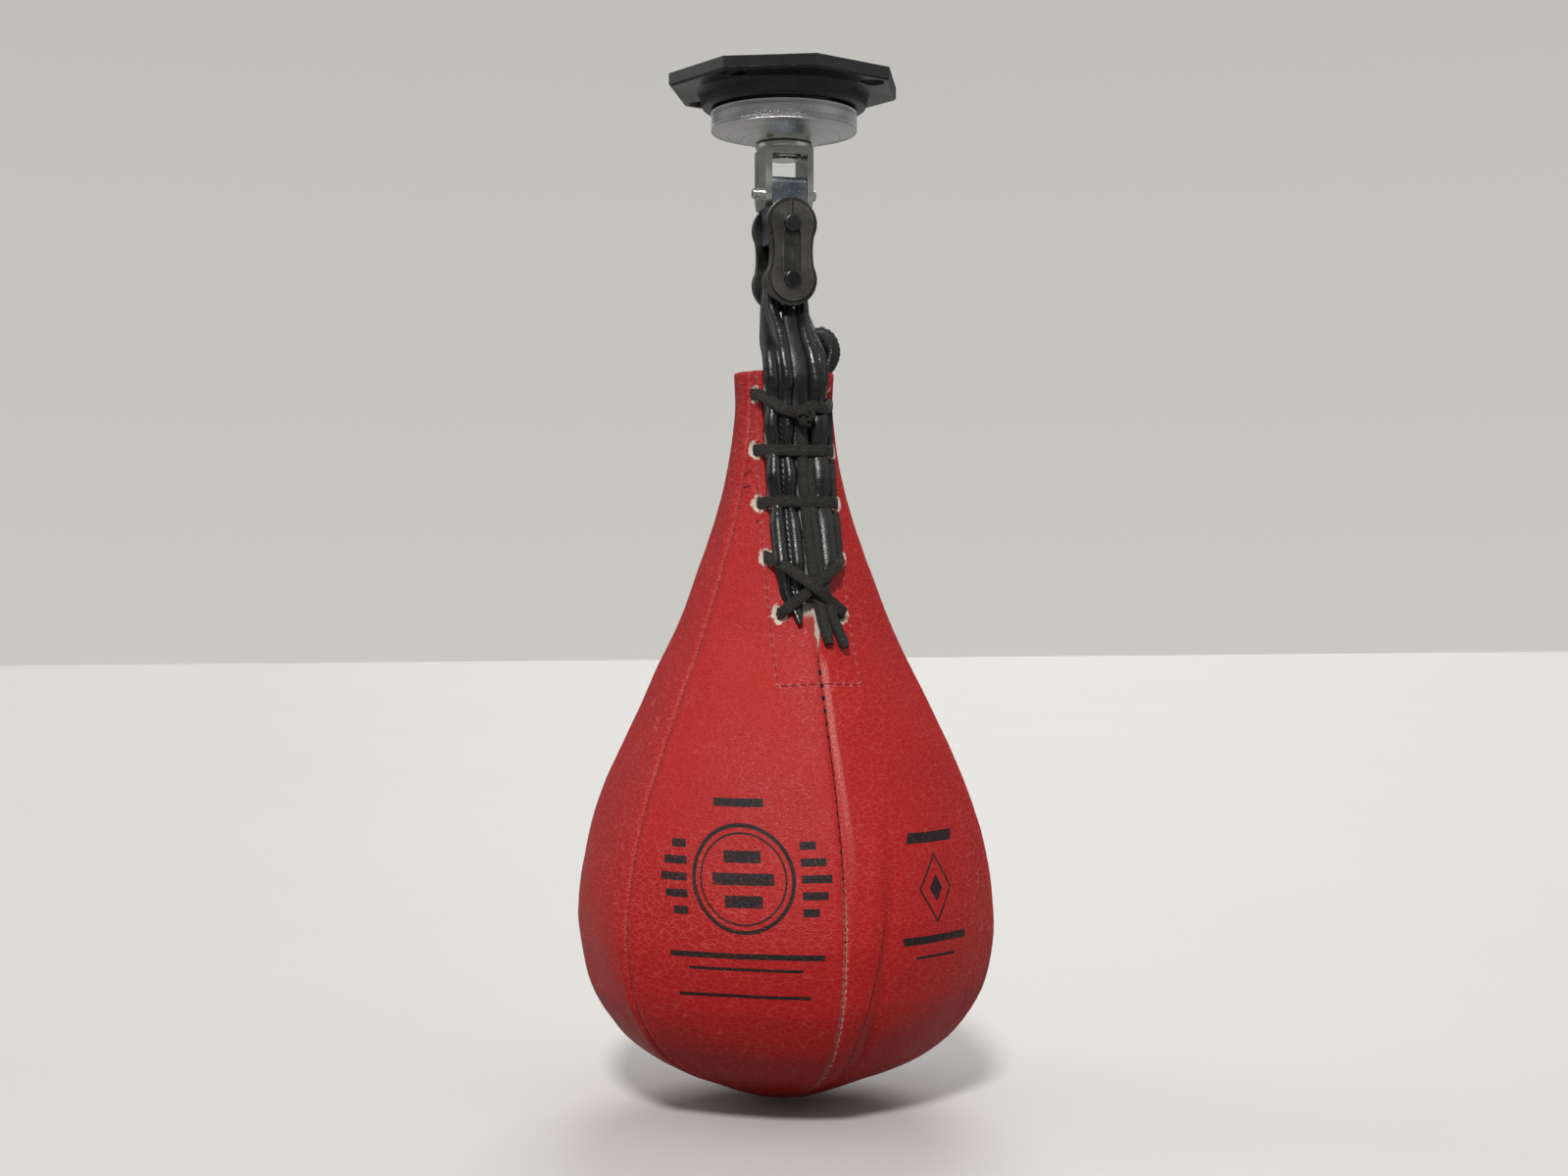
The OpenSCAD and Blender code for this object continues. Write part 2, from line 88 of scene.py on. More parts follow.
# Outline stations: radius, down
STATIONS = [
    (NECK_R, 0), (NECK_R + 0.3, 0.07 * BAG_LENGTH), (NECK_R + 6, 0.17 * BAG_LENGTH),
    (BELLY_R * 0.406, 0.269 * BAG_LENGTH), (BELLY_R * 0.543, 0.369 * BAG_LENGTH),
    (BELLY_R * 0.721, 0.468 * BAG_LENGTH), (BELLY_R * 0.873, 0.568 * BAG_LENGTH),
    (BELLY_R * 0.962, 0.655 * BAG_LENGTH), (BELLY_R, 0.74 * BAG_LENGTH),
    (BELLY_R * 0.98, 0.804 * BAG_LENGTH), (BELLY_R * 0.924, 0.855 * BAG_LENGTH),
    (BELLY_R * 0.77, 0.912 * BAG_LENGTH), (BELLY_R * 0.487, 0.958 * BAG_LENGTH),
    (0, BAG_LENGTH)]
SEAM_ANGLES = np.radians(np.arange(-180, 181, 60))
LEATHER_THICK = 1.7
# Lace rows: down, x of the right hole (the left one mirrors it)
LACE_ROWS = [(10.6, 18.0), (36.0, 18.0), (60.0, 18.0), (84.0, 17.5), (109.0, 14.5)]
# Half the width of the laced slit: down, half width
SLIT = [[0, 60, 84, 98, 110, 119, 129], [15.2, 15.0, 14.0, 9.5, 4.6, 2.2, 0.0]]
# The line of stitches round the slit: half its width, its lower end, stitch pitch
BACKING_HALF, BACKING_END, BACKING_PITCH = 19.6, 139.0, 4.1
SEAM_PITCH = 5.3


# ---------------------------------------------------------------------------------------------
# Curves and the plain outline
# ---------------------------------------------------------------------------------------------
def catmull_rom(points, steps):
    """A smooth curve through all of the points but the first and the last."""
    curve = []
    for before, start, end, after in zip(points, points[1:], points[2:], points[3:]):
        for t in np.linspace(0, 1, steps, endpoint=False):
            curve.append(0.5 * (2 * start + (end - before) * t
                                + (2 * before - 5 * start + 4 * end - after) * t * t
                                + (3 * start - before - 3 * end + after) * t ** 3))
    curve.append(points[-2])
    return np.array(curve)


def path_lengths(points):
    return np.concatenate([[0], np.cumsum(np.linalg.norm(np.diff(points, axis=0), axis=1))])


def unit_rows(vectors):
    return vectors / np.linalg.norm(vectors, axis=1)[:, None]


# One station is mirrored past each end, so the outline leaves the ends straight
OUTLINE = catmull_rom(np.array([(STATIONS[0][0], -STATIONS[1][1])] + STATIONS
                               + [(-STATIONS[-2][0], STATIONS[-2][1])], float), 40)
ARC = path_lengths(OUTLINE)
TANGENT = unit_rows(np.gradient(OUTLINE, axis=0))


def radius_at(down):
    return np.interp(down, OUTLINE[:, 1], OUTLINE[:, 0])


def arc_at(down):
    return np.interp(down, OUTLINE[:, 1], ARC)


def outline_at(arc):
    """Radius and down."""
    return np.interp(arc, ARC, OUTLINE[:, 0]), np.interp(arc, ARC, OUTLINE[:, 1])


def normal_at(arc):
    """The outward normal in (radius, down)."""
    return np.interp(arc, ARC, TANGENT[:, 1]), -np.interp(arc, ARC, TANGENT[:, 0])


def hole_across(down, x):
    """Distance along the leather from the front seam to a hole at x."""
    radius = float(radius_at(down))
    return radius * math.asin(x / radius)


# Lace holes: down, distance along the leather from the front seam
HOLES = [(down, hole_across(down, x)) for down, x in LACE_ROWS]


def smoothstep(low, high, x):
    t = np.clip((x - low) / (high - low), 0, 1)
    return t * t * (3 - 2 * t)


def polar(radius, angle, z):
    x = radius * np.sin(angle)
    return np.stack([x, -radius * np.cos(angle), np.broadcast_to(z, x.shape)], 1)


def soft_noise(points, scale, seed):
    """Smooth noise in -1..1 for every point."""
    shift = Vector((seed * 13.7, seed * 7.3, seed * 3.1))
    return np.array([noise.fractal(Vector(p) / scale + shift, 1.0, 2.0, 2) for p in points])


def resample(points, step):
    """A smooth curve with points about step apart, and its lengths. Extra columns come along."""
    points = np.asarray(points, float)
    ends = [2 * points[0] - points[1]], [2 * points[-1] - points[-2]]
    curve = catmull_rom(np.concatenate([ends[0], points, ends[1]]), 24)
    lengths = path_lengths(curve[:, :3])
    even = np.linspace(0, lengths[-1], max(4, int(lengths[-1] / step)) + 1)
    columns = [np.interp(even, lengths, curve[:, k]) for k in range(curve.shape[1])]
    return np.stack(columns, 1), even


# ---------------------------------------------------------------------------------------------
# Mesh helpers
# ---------------------------------------------------------------------------------------------
def mesh_object(name, points, faces):
    """A smooth-shaded object from points in millimetres."""
    mesh = bpy.data.meshes.new(name)
    mesh.from_pydata([tuple(float(c) * MM for c in p) for p in points], [], faces)
    mesh.validate()
    mesh.polygons.foreach_set("use_smooth", [True] * len(mesh.polygons))
    mesh.update()
    ob = bpy.data.objects.new(name, mesh)
    scene.collection.objects.link(ob)
    return ob


def fix_normals(ob):
    bm = bmesh.new()
    bm.from_mesh(ob.data)
    bmesh.ops.remove_doubles(bm, verts=bm.verts, dist=1e-7)
    bmesh.ops.recalc_face_normals(bm, faces=bm.faces)
    bm.to_mesh(ob.data)
    bm.free()
    ob.data.update()


def read_points(mesh):
    points = np.empty(len(mesh.vertices) * 3)
    mesh.vertices.foreach_get("co", points)
    return points.reshape(-1, 3)


def apply_modifiers(ob):
    depsgraph = bpy.context.evaluated_depsgraph_get()
    mesh = bpy.data.meshes.new_from_object(
        ob.evaluated_get(depsgraph), preserve_all_data_layers=True, depsgraph=depsgraph)
    ob.modifiers.clear()
    ob.data = mesh


def grid_faces(rows, cols, base=0, wrap=False, flip=False):
    faces = []
    for i in range(rows - 1):
        for j in range(cols if wrap else cols - 1):
            start = base + i * cols + j
            beside = base + i * cols + (j + 1) % cols
            face = (start, beside, beside + cols, start + cols)
            faces.append(face[::-1] if flip else face)
    return faces


def tube_faces(rows, cols, base=0):
    """Faces of a tube with one flat face at each end."""
    last = base + (rows - 1) * cols
    caps = [tuple(range(base, base + cols))[::-1], tuple(range(last, last + cols))]
    return grid_faces(rows, cols, base, wrap=True) + caps


def ring_body(name, rings):
    """A closed body through a list of equal rings."""
    ob = mesh_object(name, np.concatenate(rings), tube_faces(len(rings), len(rings[0])))
    fix_normals(ob)
    return ob


def slab(name, outer, inner, rows, cols):
    """A closed sheet from an outer and an inner grid of points."""
    count = rows * cols
    faces = grid_faces(rows, cols) + grid_faces(rows, cols, count, flip=True)
    for i in range(rows - 1):
        a, b = i * cols, (i + 1) * cols
        faces.append((a, b, b + count, a + count))
        a, b = a + cols - 1, b + cols - 1
        faces.append((b, a, a + count, b + count))
    for j in range(cols - 1):
        faces.append((j + 1, j, j + count, j + 1 + count))
        a = (rows - 1) * cols + j
        faces.append((a, a + 1, a + 1 + count, a + count))
    return mesh_object(name, np.concatenate([outer, inner]), faces)


def attribute(ob, name, values):
    layer = ob.data.attributes.new(name, "FLOAT", "POINT")
    layer.data.foreach_set("value", np.asarray(values, np.float32))


def frames_along(path, side_hint):
    """Tangent, side and front vectors at each point of a path; side follows side_hint."""
    tangent = unit_rows(np.gradient(path, axis=0))
    side = np.asarray(side_hint, float)
    side = unit_rows(side - tangent * np.sum(side * tangent, axis=1)[:, None])
    return tangent, side, np.cross(side, tangent)


def sweep(name, path, side_hint, section, lengths, closed=False):
    """A tube whose section(i) is a ring of (side, front) offsets at point i of the path."""
    tangent, side, front = frames_along(path, side_hint)
    count = len(path)
    rings = [section(i) for i in range(count)]
    ring_size = len(rings[0])
    points = list(np.concatenate([
        path[i] + rings[i][:, :1] * side[i] + rings[i][:, 1:] * front[i] for i in range(count)]))
    faces = grid_faces(count, ring_size, wrap=True)
    # how sharply the path turns, 0 to 1, which drives the creases
    turn = np.linalg.norm(np.gradient(tangent, axis=0), axis=1)
    turn /= np.maximum(np.gradient(np.asarray(lengths, float)), 1e-6)
    turn = np.convolve(np.pad(turn, 4, mode="edge"), np.ones(9) / 9, mode="valid")
    turn = np.clip((turn - 0.045) / 0.09, 0, 1)
    along, bend = np.repeat(lengths, ring_size), np.repeat(turn, ring_size)
    around = np.tile(np.arange(ring_size) / ring_size, count)
    last = (count - 1) * ring_size
    steps = [(j, (j + 1) % ring_size) for j in range(ring_size)]
    if closed:
        faces += [(last + j, last + k, k, j) for j, k in steps]
    else:
        tip = len(points)
        points += [path[0], path[-1]]
        faces += [(k, j, tip) for j, k in steps]
        faces += [(last + j, last + k, tip + 1) for j, k in steps]
        along = np.append(along, [lengths[0], lengths[-1]])
        around = np.append(around, [0, 0])
        bend = np.append(bend, [turn[0], turn[-1]])
    ob = mesh_object(name, points, faces)
    attribute(ob, "along", along)
    attribute(ob, "around", around)
    attribute(ob, "bend", bend)
    fix_normals(ob)
    return ob


def oval(width, thickness, count, power):
    """A ring that gets squarer as power grows above 2."""
    angles = np.linspace(0, TURN, count, endpoint=False)
    x, y = np.cos(angles), np.sin(angles)
    return np.stack([width / 2 * np.sign(x) * np.abs(x) ** (2 / power),
                     thickness / 2 * np.sign(y) * np.abs(y) ** (2 / power)], 1)


def refined(node, bevel):
    """A copy of a rigid CAD node with its flats dissolved and its edges rounded."""
    ob = bpy.data.objects.new(node + "_v", CAD[node].data.copy())
    ob.data.materials.clear()
    scene.collection.objects.link(ob)
    bm = bmesh.new()
    bm.from_mesh(ob.data)
    bmesh.ops.remove_doubles(bm, verts=bm.verts, dist=2e-7)
    bmesh.ops.dissolve_limit(bm, angle_limit=math.radians(0.6), verts=bm.verts, edges=bm.edges)
    bm.to_mesh(ob.data)
    bm.free()
    rounding = ob.modifiers.new("bevel", "BEVEL")
    rounding.width = bevel * MM
    rounding.segments = 3
    rounding.limit_method = "ANGLE"
    rounding.angle_limit = math.radians(28.0)
    rounding.use_clamp_overlap = True
    rounding.harden_normals = False
    apply_modifiers(ob)
    ob.data.polygons.foreach_set("use_smooth", [True] * len(ob.data.polygons))
    ob.data.set_sharp_from_angle(angle=math.radians(42))
    weighted = ob.modifiers.new("weighted", "WEIGHTED_NORMAL")
    weighted.mode = "FACE_AREA"
    weighted.weight = 100
    weighted.keep_sharp = True
    apply_modifiers(ob)
    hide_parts(node)
    return ob


# ---------------------------------------------------------------------------------------------
# The leather's surface
# ---------------------------------------------------------------------------------------------
def seam_angle(angle):
    """Angle to the nearest seam."""
    return np.min(np.abs(angle[:, None] - SEAM_ANGLES[None, :]), axis=1)


def hex_flat(angle):
    """0 at a seam and most negative mid-panel: the section of six flat pieces."""
    return 1 - math.cos(math.radians(30)) / np.cos(np.radians(30) - seam_angle(angle))


def held_weight(points):
    """How firmly Cloth holds each point: along the seams, at the neck and at the bottom."""
    radius = np.hypot(points[:, 0], points[:, 1]) / MM
    seam = seam_angle(np.arctan2(points[:, 0], -points[:, 1])) * radius
    down = NECK_Z - points[:, 2] / MM
    held = np.clip(0.75 * np.exp(-(seam / 5.0) ** 2), 0, 1) * smoothstep(0, 18, radius)
    held = np.maximum(held, 1 - smoothstep(112, 150, down))
    return np.maximum(held, 0.5 * (1 - smoothstep(4, 16, radius)))


def inflate():
    """Blows six flat panels up with Cloth, and returns how far they stand from the outline.

    The result is a grid of distances with the arcs of its rows and the angles of its columns.
    """
    around = np.linspace(-math.pi, math.pi, 72, endpoint=False)
    rings = []
    for arc in np.linspace(arc_at(96.0), ARC[-1] - 1.0, 60):
        radius, down = outline_at(arc)
        flatness = np.interp(down, [96, 150, 240, 331], [0.22, 0.34, 0.26, 0.45])
        ring_radius = np.maximum(radius * (1 - flatness * hex_flat(around)) - 1.2, 0.4)
        rings.append(polar(ring_radius, around, NECK_Z - down))
    ob = ring_body("inflate_tmp", rings)
    remesh = ob.modifiers.new("remesh", "REMESH")
    remesh.mode = "VOXEL"
    remesh.voxel_size = 0.0055
    apply_modifiers(ob)

    start = read_points(ob.data)
    group = ob.vertex_groups.new(name="held")
    for i, held in enumerate(held_weight(start)):
        if held > 0.01:
            group.add([i], float(held), "REPLACE")
    cloth = ob.modifiers.new("cloth", "CLOTH")
    settings = cloth.settings
    settings.quality = 6
    settings.mass = 0.35
    settings.tension_stiffness = settings.compression_stiffness = 15
    settings.shear_stiffness = 8
    settings.bending_stiffness = 1.2
    settings.use_pressure = True
    settings.uniform_pressure_force = 4.0
    settings.vertex_group_mass = "held"
    settings.pin_stiffness = 1.4
    settings.effector_weights.gravity = 0
    cloth.collision_settings.use_self_collision = False
    cloth.point_cache.frame_start = 1
    cloth.point_cache.frame_end = 20
    for i in range(1, 21):
        scene.frame_set(i)
    depsgraph = bpy.context.evaluated_depsgraph_get()
    move = read_points(ob.evaluated_get(depsgraph).to_mesh()) - start
    farthest = 0.011
    distance = np.linalg.norm(move, axis=1)
    move *= np.minimum(1, farthest / np.maximum(distance, 1e-9))[:, None]
    ob.data.vertices.foreach_set("co", (start + move).ravel())
    ob.modifiers.clear()
    ob.data.update()
    scene.frame_set(1)

    # measure along rays from the middle of the belly
    bm = bmesh.new()
    bm.from_mesh(ob.data)
    bmesh.ops.triangulate(bm, faces=bm.faces)
    tree = BVHTree.FromBMesh(bm)
    bm.free()
    centre = Vector((0, 0, (NECK_Z - 232.0) * MM))
    arcs = np.linspace(arc_at(120.0), ARC[-1], 100)
    angles = np.linspace(-math.pi, math.pi, 181)
    grid = np.zeros((len(arcs), len(angles)))
    for i, arc in enumerate(arcs):
        radius, down = outline_at(arc)
        out_r, out_down = normal_at(arc)
        for j, angle in enumerate(angles):
            right, back = math.sin(angle), -math.cos(angle)
            plain = Vector((radius * right, radius * back, NECK_Z - down)) * MM
            ray = (plain - centre).normalized()
            normal = Vector((out_r * right, out_r * back, -out_down))
            hit = tree.ray_cast(centre, ray)[0]
            if hit is not None:
                gain = (hit - centre).length - (plain - centre).length
                grid[i, j] = gain / MM * max(0.3, ray.dot(normal))
    # smoothing takes the voxel steps out
    for _ in range(3):
        wide = np.pad(grid, ((1, 1), (0, 0)), mode="edge")
        grid = (wide[:-2] + 2 * wide[1:-1] + wide[2:]) / 4
        wide = np.concatenate([grid[:, -2:-1], grid, grid[:, 1:2]], axis=1)
        grid = (wide[:, :-2] + 2 * wide[:, 1:-1] + wide[:, 2:]) / 4
    bpy.data.objects.remove(ob, do_unlink=True)
    return arcs, angles, grid


def inflated_lift(arc, angle):
    arcs, angles, grid = INFLATED
    row = np.clip((arc - arcs[0]) / (arcs[-1] - arcs[0]), 0, 1) * (len(arcs) - 1)
    col = (angle - angles[0]) / (angles[-1] - angles[0]) * (len(angles) - 1)
    i = np.minimum(row.astype(int), len(arcs) - 2)
    j = np.minimum(np.clip(col, 0, None).astype(int), len(angles) - 2)
    row, col = smoothstep(0, 1, row - i), smoothstep(0, 1, col - j)
    return (grid[i, j] * (1 - row) * (1 - col) + grid[i + 1, j] * row * (1 - col)
            + grid[i, j + 1] * (1 - row) * col + grid[i + 1, j + 1] * row * col)


def leather_lift(arc, angle):
    """How far the leather stands out from the plain outline, and the distance to a seam."""
    radius, down = outline_at(arc)
    seam = seam_angle(angle) * radius
    flatness = np.interp(down, [0, 60, 130, 200, 250, 300, 331],
                         [0.10, 0.22, 0.30, 0.26, 0.30, 0.46, 0.55])
    lift = -flatness * hex_flat(angle) * radius
    if INFLATED is not None:
        weight = smoothstep(122, 165, down)
        lift = lift * (1 - weight) + weight * inflated_lift(arc, angle)
    # the sewn edge turns in; the front seam lies nearly flush
    front = (np.abs(angle) < np.radians(15)).astype(float)
    edge = np.exp(-(seam / 0.95) ** 1.4) * np.clip(radius / 8, 0.15, 1)
    lift -= (1.5 - 0.55 * front) * edge
    # a slight roll beside each seam
    roll = np.exp(-((seam - 3.6) / 2.2) ** 2)
    lift += (0.28 - 0.20 * front) * roll * smoothstep(2, 20, radius)
    # puckers at the stitches
    pucker = np.cos(TURN * arc / SEAM_PITCH) * np.exp(-(seam / 3.0) ** 2)
    lift -= (0.15 - 0.06 * front) * pucker * smoothstep(6, 24, radius)
    # a soft fold right of the front seam, over the belly and down to the bottom
    fold = np.interp(down, [170, 205, 245, 275, 300, 318, 331], [27, 25, 21, 18.5, 15, 8, 3])
    across = angle * radius
    depth = smoothstep(180, 235, down) * (1 - smoothstep(316, 329, down))
    lift -= 1.25 * depth * np.exp(-((across - fold) / 2.0) ** 2)
    lift += 0.85 * depth * np.exp(-((across - fold + 8) / 5.5) ** 2)
    # shallow dents, left of the front seam and at the back
    lift -= 1.6 * np.exp(-((angle + 0.55) / 0.28) ** 2 - ((down - 150) / 34) ** 2)
    lift -= 1.4 * np.exp(-((angle - 2.6) / 0.3) ** 2 - ((down - 190) / 40) ** 2)
    return lift, seam


def surface(arc, angle, depth=0.0, lumps=True):
    """Points of the leather, depth under its outside."""
    arc, angle = np.asarray(arc, float).ravel(), np.asarray(angle, float).ravel()
    lift, seam = leather_lift(arc, angle)
    radius, down = outline_at(arc)
    out_r, out_down = normal_at(arc)
    if lumps:
        base = polar(radius, angle, -down)
        rough = soft_noise(base, 62.0, 1.0) * 1.15
        rough = rough + soft_noise(base * [1, 1, 1.5], 21.0, 2.0) * 0.30
        lift = lift + rough * smoothstep(0, 30, radius) * (1 - 0.6 * np.exp(-(seam / 5) ** 2))
    out = lift - depth
    return polar(np.maximum(radius + out_r * out, 0.05), angle, NECK_Z - (down + out_down * out))


# ---------------------------------------------------------------------------------------------
# Shader helpers
# ---------------------------------------------------------------------------------------------
class Signal:
    """An output of a shader node. Arithmetic on it adds Math nodes."""

    def __init__(self, graph, socket):
        self.graph, self.socket = graph, socket

    def math(self, operation, *others):
        inputs = dict(enumerate((self,) + others))
        return self.graph.add("Math", inputs, operation=operation)

    def __add__(self, other):
        return self.math("ADD", other)

    def __sub__(self, other):
        return self.math("SUBTRACT", other)

    def __mul__(self, other):
        return self.math("MULTIPLY", other)

    def __mod__(self, other):
        return self.math("MODULO", other)

    def __pow__(self, other):
        return self.math("POWER", other)

    def __abs__(self):
        return self.math("ABSOLUTE")

    def sine(self):
        return self.math("SINE")

    def sqrt(self):
        return self.math("SQRT")

    def max(self, other):
        return self.math("MAXIMUM", other)

    def clamped(self):
        self.socket.node.use_clamp = True
        return self

    def ramp(self, low, high, start, end):
        """start up to low, easing to end at high."""
        inputs = {"Value": self, "From Min": low, "From Max": high, "To Min": start, "To Max": end}
        return self.graph.add("MapRange", inputs, interpolation_type="SMOOTHSTEP")

    def rise(self, low, high):
        return self.ramp(low, high, 0.0, 1.0)

    def fall(self, low, high):
        return self.ramp(low, high, 1.0, 0.0)


class Graph:
    """The node tree of a material or a world."""

    def __init__(self, owner):
        owner.use_nodes = True
        self.owner, self.tree = owner, owner.node_tree
        self.tree.nodes.clear()

    def add(self, kind, inputs=None, output=0, **settings):
        """Adds a node with its settings and inputs, and returns one of its outputs."""
        node = self.tree.nodes.new("ShaderNode" + kind)
        for key, value in settings.items():
            setattr(node, key, value)
        for key, value in (inputs or {}).items():
            socket = node.inputs[key]
            if isinstance(value, Signal):
                self.tree.links.new(value.socket, socket)
            else:
                socket.default_value = (*value, 1.0) if socket.type == "RGBA" else value
        return Signal(self, node.outputs[output]) if node.outputs else None

    def coord(self, kind="Object"):
        return self.add("TexCoord", output=kind)

    def attr(self, name):
        return self.add("Attribute", output="Fac", attribute_name=name)

    def mapping(self, place, scale, shift=(0, 0, 0), turn=(0, 0, 0)):
        inputs = {"Vector": place, "Scale": scale, "Location": shift, "Rotation": turn}
        return self.add("Mapping", inputs)

    def combine(self, x, y, z=0.0):
        return self.add("CombineXYZ", {0: x, 1: y, 2: z})

    def xyz(self, vector):
        outputs = self.add("SeparateXYZ", {0: vector}).socket.node.outputs
        return [Signal(self, socket) for socket in outputs]

    def noise(self, place, scale, detail=3.0, rough=0.55, output="Fac"):
        inputs = {"Vector": place, "Scale": scale, "Detail": detail, "Roughness": rough}
        return self.add("TexNoise", inputs, output)

    def cells(self, place, scale):
        """Distance to the nearest edge of random cells."""
        inputs = {"Vector": place, "Scale": scale}
        return self.add("TexVoronoi", inputs, "Distance", feature="DISTANCE_TO_EDGE")

    def warped(self, place, warp, amount):
        return self.add("VectorMath", {0: warp, 1: amount, 2: place}, operation="MULTIPLY_ADD")

    def mix(self, base, over, mask, amount=None):
        """Lays a color over another where the mask, times the amount, is 1."""
        mask = mask if amount is None else mask * amount
        return self.add("Mix", {0: mask, 6: base, 7: over}, 2, data_type="RGBA",
                        blend_type="MIX", clamp_factor=True)

    def bump(self, height, strength, distance):
        return self.add("Bump", {"Strength": strength, "Distance": distance, "Height": height})

    def edge_mask(self, radius):
        """1 on edges, where a rounded normal leaves the true one."""
        rounded = self.add("Bevel", {"Radius": radius}, samples=6)
        true = self.add("NewGeometry", output="Normal")
        dot = self.add("VectorMath", {0: rounded, 1: true}, "Value", operation="DOT_PRODUCT")
        return dot.fall(0.93, 0.99)

    def surface(self, **values):
        """Ends a material in a Principled shader."""
        inputs = {PRINCIPLED_INPUTS[key]: value for key, value in values.items()}
        self.add("OutputMaterial", {0: self.add("BsdfPrincipled", inputs)})
        return self.owner


PRINCIPLED_INPUTS = {
    "color": "Base Color", "rough": "Roughness", "metal": "Metallic", "normal": "Normal",
    "spec": "Specular IOR Level", "aniso": "Anisotropic", "tangent": "Tangent",
    "sheen": "Sheen Weight"}


def new_material(name):
    """The graph of a new material, and its object coordinates."""
    mat = Graph(bpy.data.materials.new(name))
    return mat, mat.coord()


# ---------------------------------------------------------------------------------------------
# Prints on the leather, in mm across from the front seam and down
# ---------------------------------------------------------------------------------------------
def distance_to(across, down):
    return (across * across + down * down).sqrt()


def ring_mask(distance, inner, outer, soft):
    mask = distance.fall(outer - soft, outer + soft)
    return mask if inner <= 0 else mask * distance.rise(inner - soft, inner + soft)


def disc(across, down, x, y, inner, outer):
    return ring_mask(distance_to(across - x, down - y), inner, outer, soft=0.12)


def diamond(across, down, x, y, inner, outer):
    return ring_mask(abs(across - x) * 1.35 + abs(down - y), inner, outer, soft=0.15)


def bar(across, down, x, y, width, height, slant=0.0):
    soft = 0.12
    away = down - y
    beside = across - x + away * slant
    return (abs(beside).fall(width / 2 - soft, width / 2 + soft)
            * abs(away).fall(height / 2 - soft, height / 2 + soft))


def left_prints(across, down):
    """A double ring with bars in it, above it and beside it, and three lines below."""
    x, y = -44.0, 219.0
    # bars: centre across, centre down, width, height
    bars = [(x, 187, 23, 3.6), (x, y - 9.5, 17, 5.2), (x, y, 28, 5.2), (x, y + 9.5, 17, 5.2)]
    for offset, length in ((-14, 7), (-7, 11), (0, 13), (7, 11), (14, 7)):
        for side in (-1, 1):
            bars.append((x + side * (26 + length / 2), y + offset, length, 3.4))
    bars += [(x, 252, 70, 2.6), (x, 258, 52, 1.4), (x, 270, 60, 1.6)]
    rings = [disc(across, down, x, y, *radii) for radii in ((21.7, 23.5), (18.9, 19.8))]
    return rings + [bar(across, down, *values) for values in bars]


def right_prints(across, down):
    """A diamond in a diamond outline, a slanted bar above it and two bars below."""
    x = 50.0
    bars = ((x, 204, 32, 4.6, 0.35), (x, 248, 42, 3.6, -0.25), (x, 256, 26, 1.3))
    return ([diamond(across, down, x, 226, 13.5, 15.3), diamond(across, down, x, 226, 0, 6.0)]
            + [bar(across, down, *values) for values in bars])


# ---------------------------------------------------------------------------------------------
# Materials
# ---------------------------------------------------------------------------------------------
def front_seam_wear_and_shade(mat, across, down, speck, color, height):
    """Worn fibres, stitch holes with painted shade in them and the fold's painted shade line,
    round the front seam.
    """
    # fibres worn up right of the seam, drifting outward lower down
    fibres = mat.noise(mat.combine(across * 1.4, down * 0.45, 4.0), scale=2.0, rough=0.75)
    drift = down.ramp(150.0, 215.0, 2.1, 4.2)
    band = abs(across - drift).fall(0.3, 2.3) * down.rise(127.0, 133.0)
    band = band * down.fall(165.0, 235.0) * fibres.ramp(0.44, 0.60, 0.12, 1.0)
    color = mat.mix(color, (0.72, 0.30, 0.27), band, amount=0.62)
    # lower down the seam is worn to a pale, twisted line
    twist = abs(across) + (down * 1.9).sine() * 0.35
    pale = twist.fall(0.25, 1.15) * down.rise(205.0, 250.0) * speck.rise(0.46, 0.58)
    color = mat.mix(color, (0.78, 0.50, 0.45), pale, amount=0.80)
    # stitch holes, large near the slit and faint lower down, painted dark as the shade inside them
    saw = (down + 1.1) % SEAM_PITCH - SEAM_PITCH / 2
    beside = across + 0.30
    distance = (saw * saw + beside * beside * 1.3).sqrt()
    size = down.ramp(136.0, 178.0, 1.15, 0.60)
    dot = (distance - size).fall(-0.25, 0.15) * down.rise(128.0, 131.0)
    dot = dot * down.ramp(200.0, 300.0, 1.0, 0.15)
    # painted shade: the near-black dot stands in for the shadow inside each stitch hole
    color = mat.mix(color, (0.012, 0.006, 0.006), dot)
    height = height - dot * 2.5
    # painted shade: a dark line standing in for the shadow in the soft fold's crease
    fold = abs(across - down.ramp(205.0, 318.0, 21.5, 8.0)).fall(0.15, 0.7)
    fold = fold * down.rise(222.0, 250.0) * down.fall(312.0, 322.0)
    return mat.mix(color, (0.10, 0.006, 0.008), fold, amount=0.75), height


def lace_holes(mat, place, across, down, color, height):
    """Holes painted dark as the shade inside them, each in a ragged pale ring."""
    for hole_down, hole_x in HOLES:
        distance = distance_to(abs(across) - hole_x, down - hole_down)
        ragged = distance + (mat.noise(place, scale=420.0) - 0.5) * 5.0
        pale = mat.mix((0.74, 0.65, 0.55), (0.52, 0.40, 0.33), mat.noise(place, scale=900.0))
        color = mat.mix(color, pale, ragged.fall(3.6, 4.3), amount=0.93)
        # painted shade: the dark disc stands in for the shadow inside the hole
        color = mat.mix(color, (0.010, 0.010, 0.012), distance.fall(1.7, 2.1))
        height = height + ragged.ramp(3.4, 4.4, 0.9, 0.0) * 0.6
    return color, height


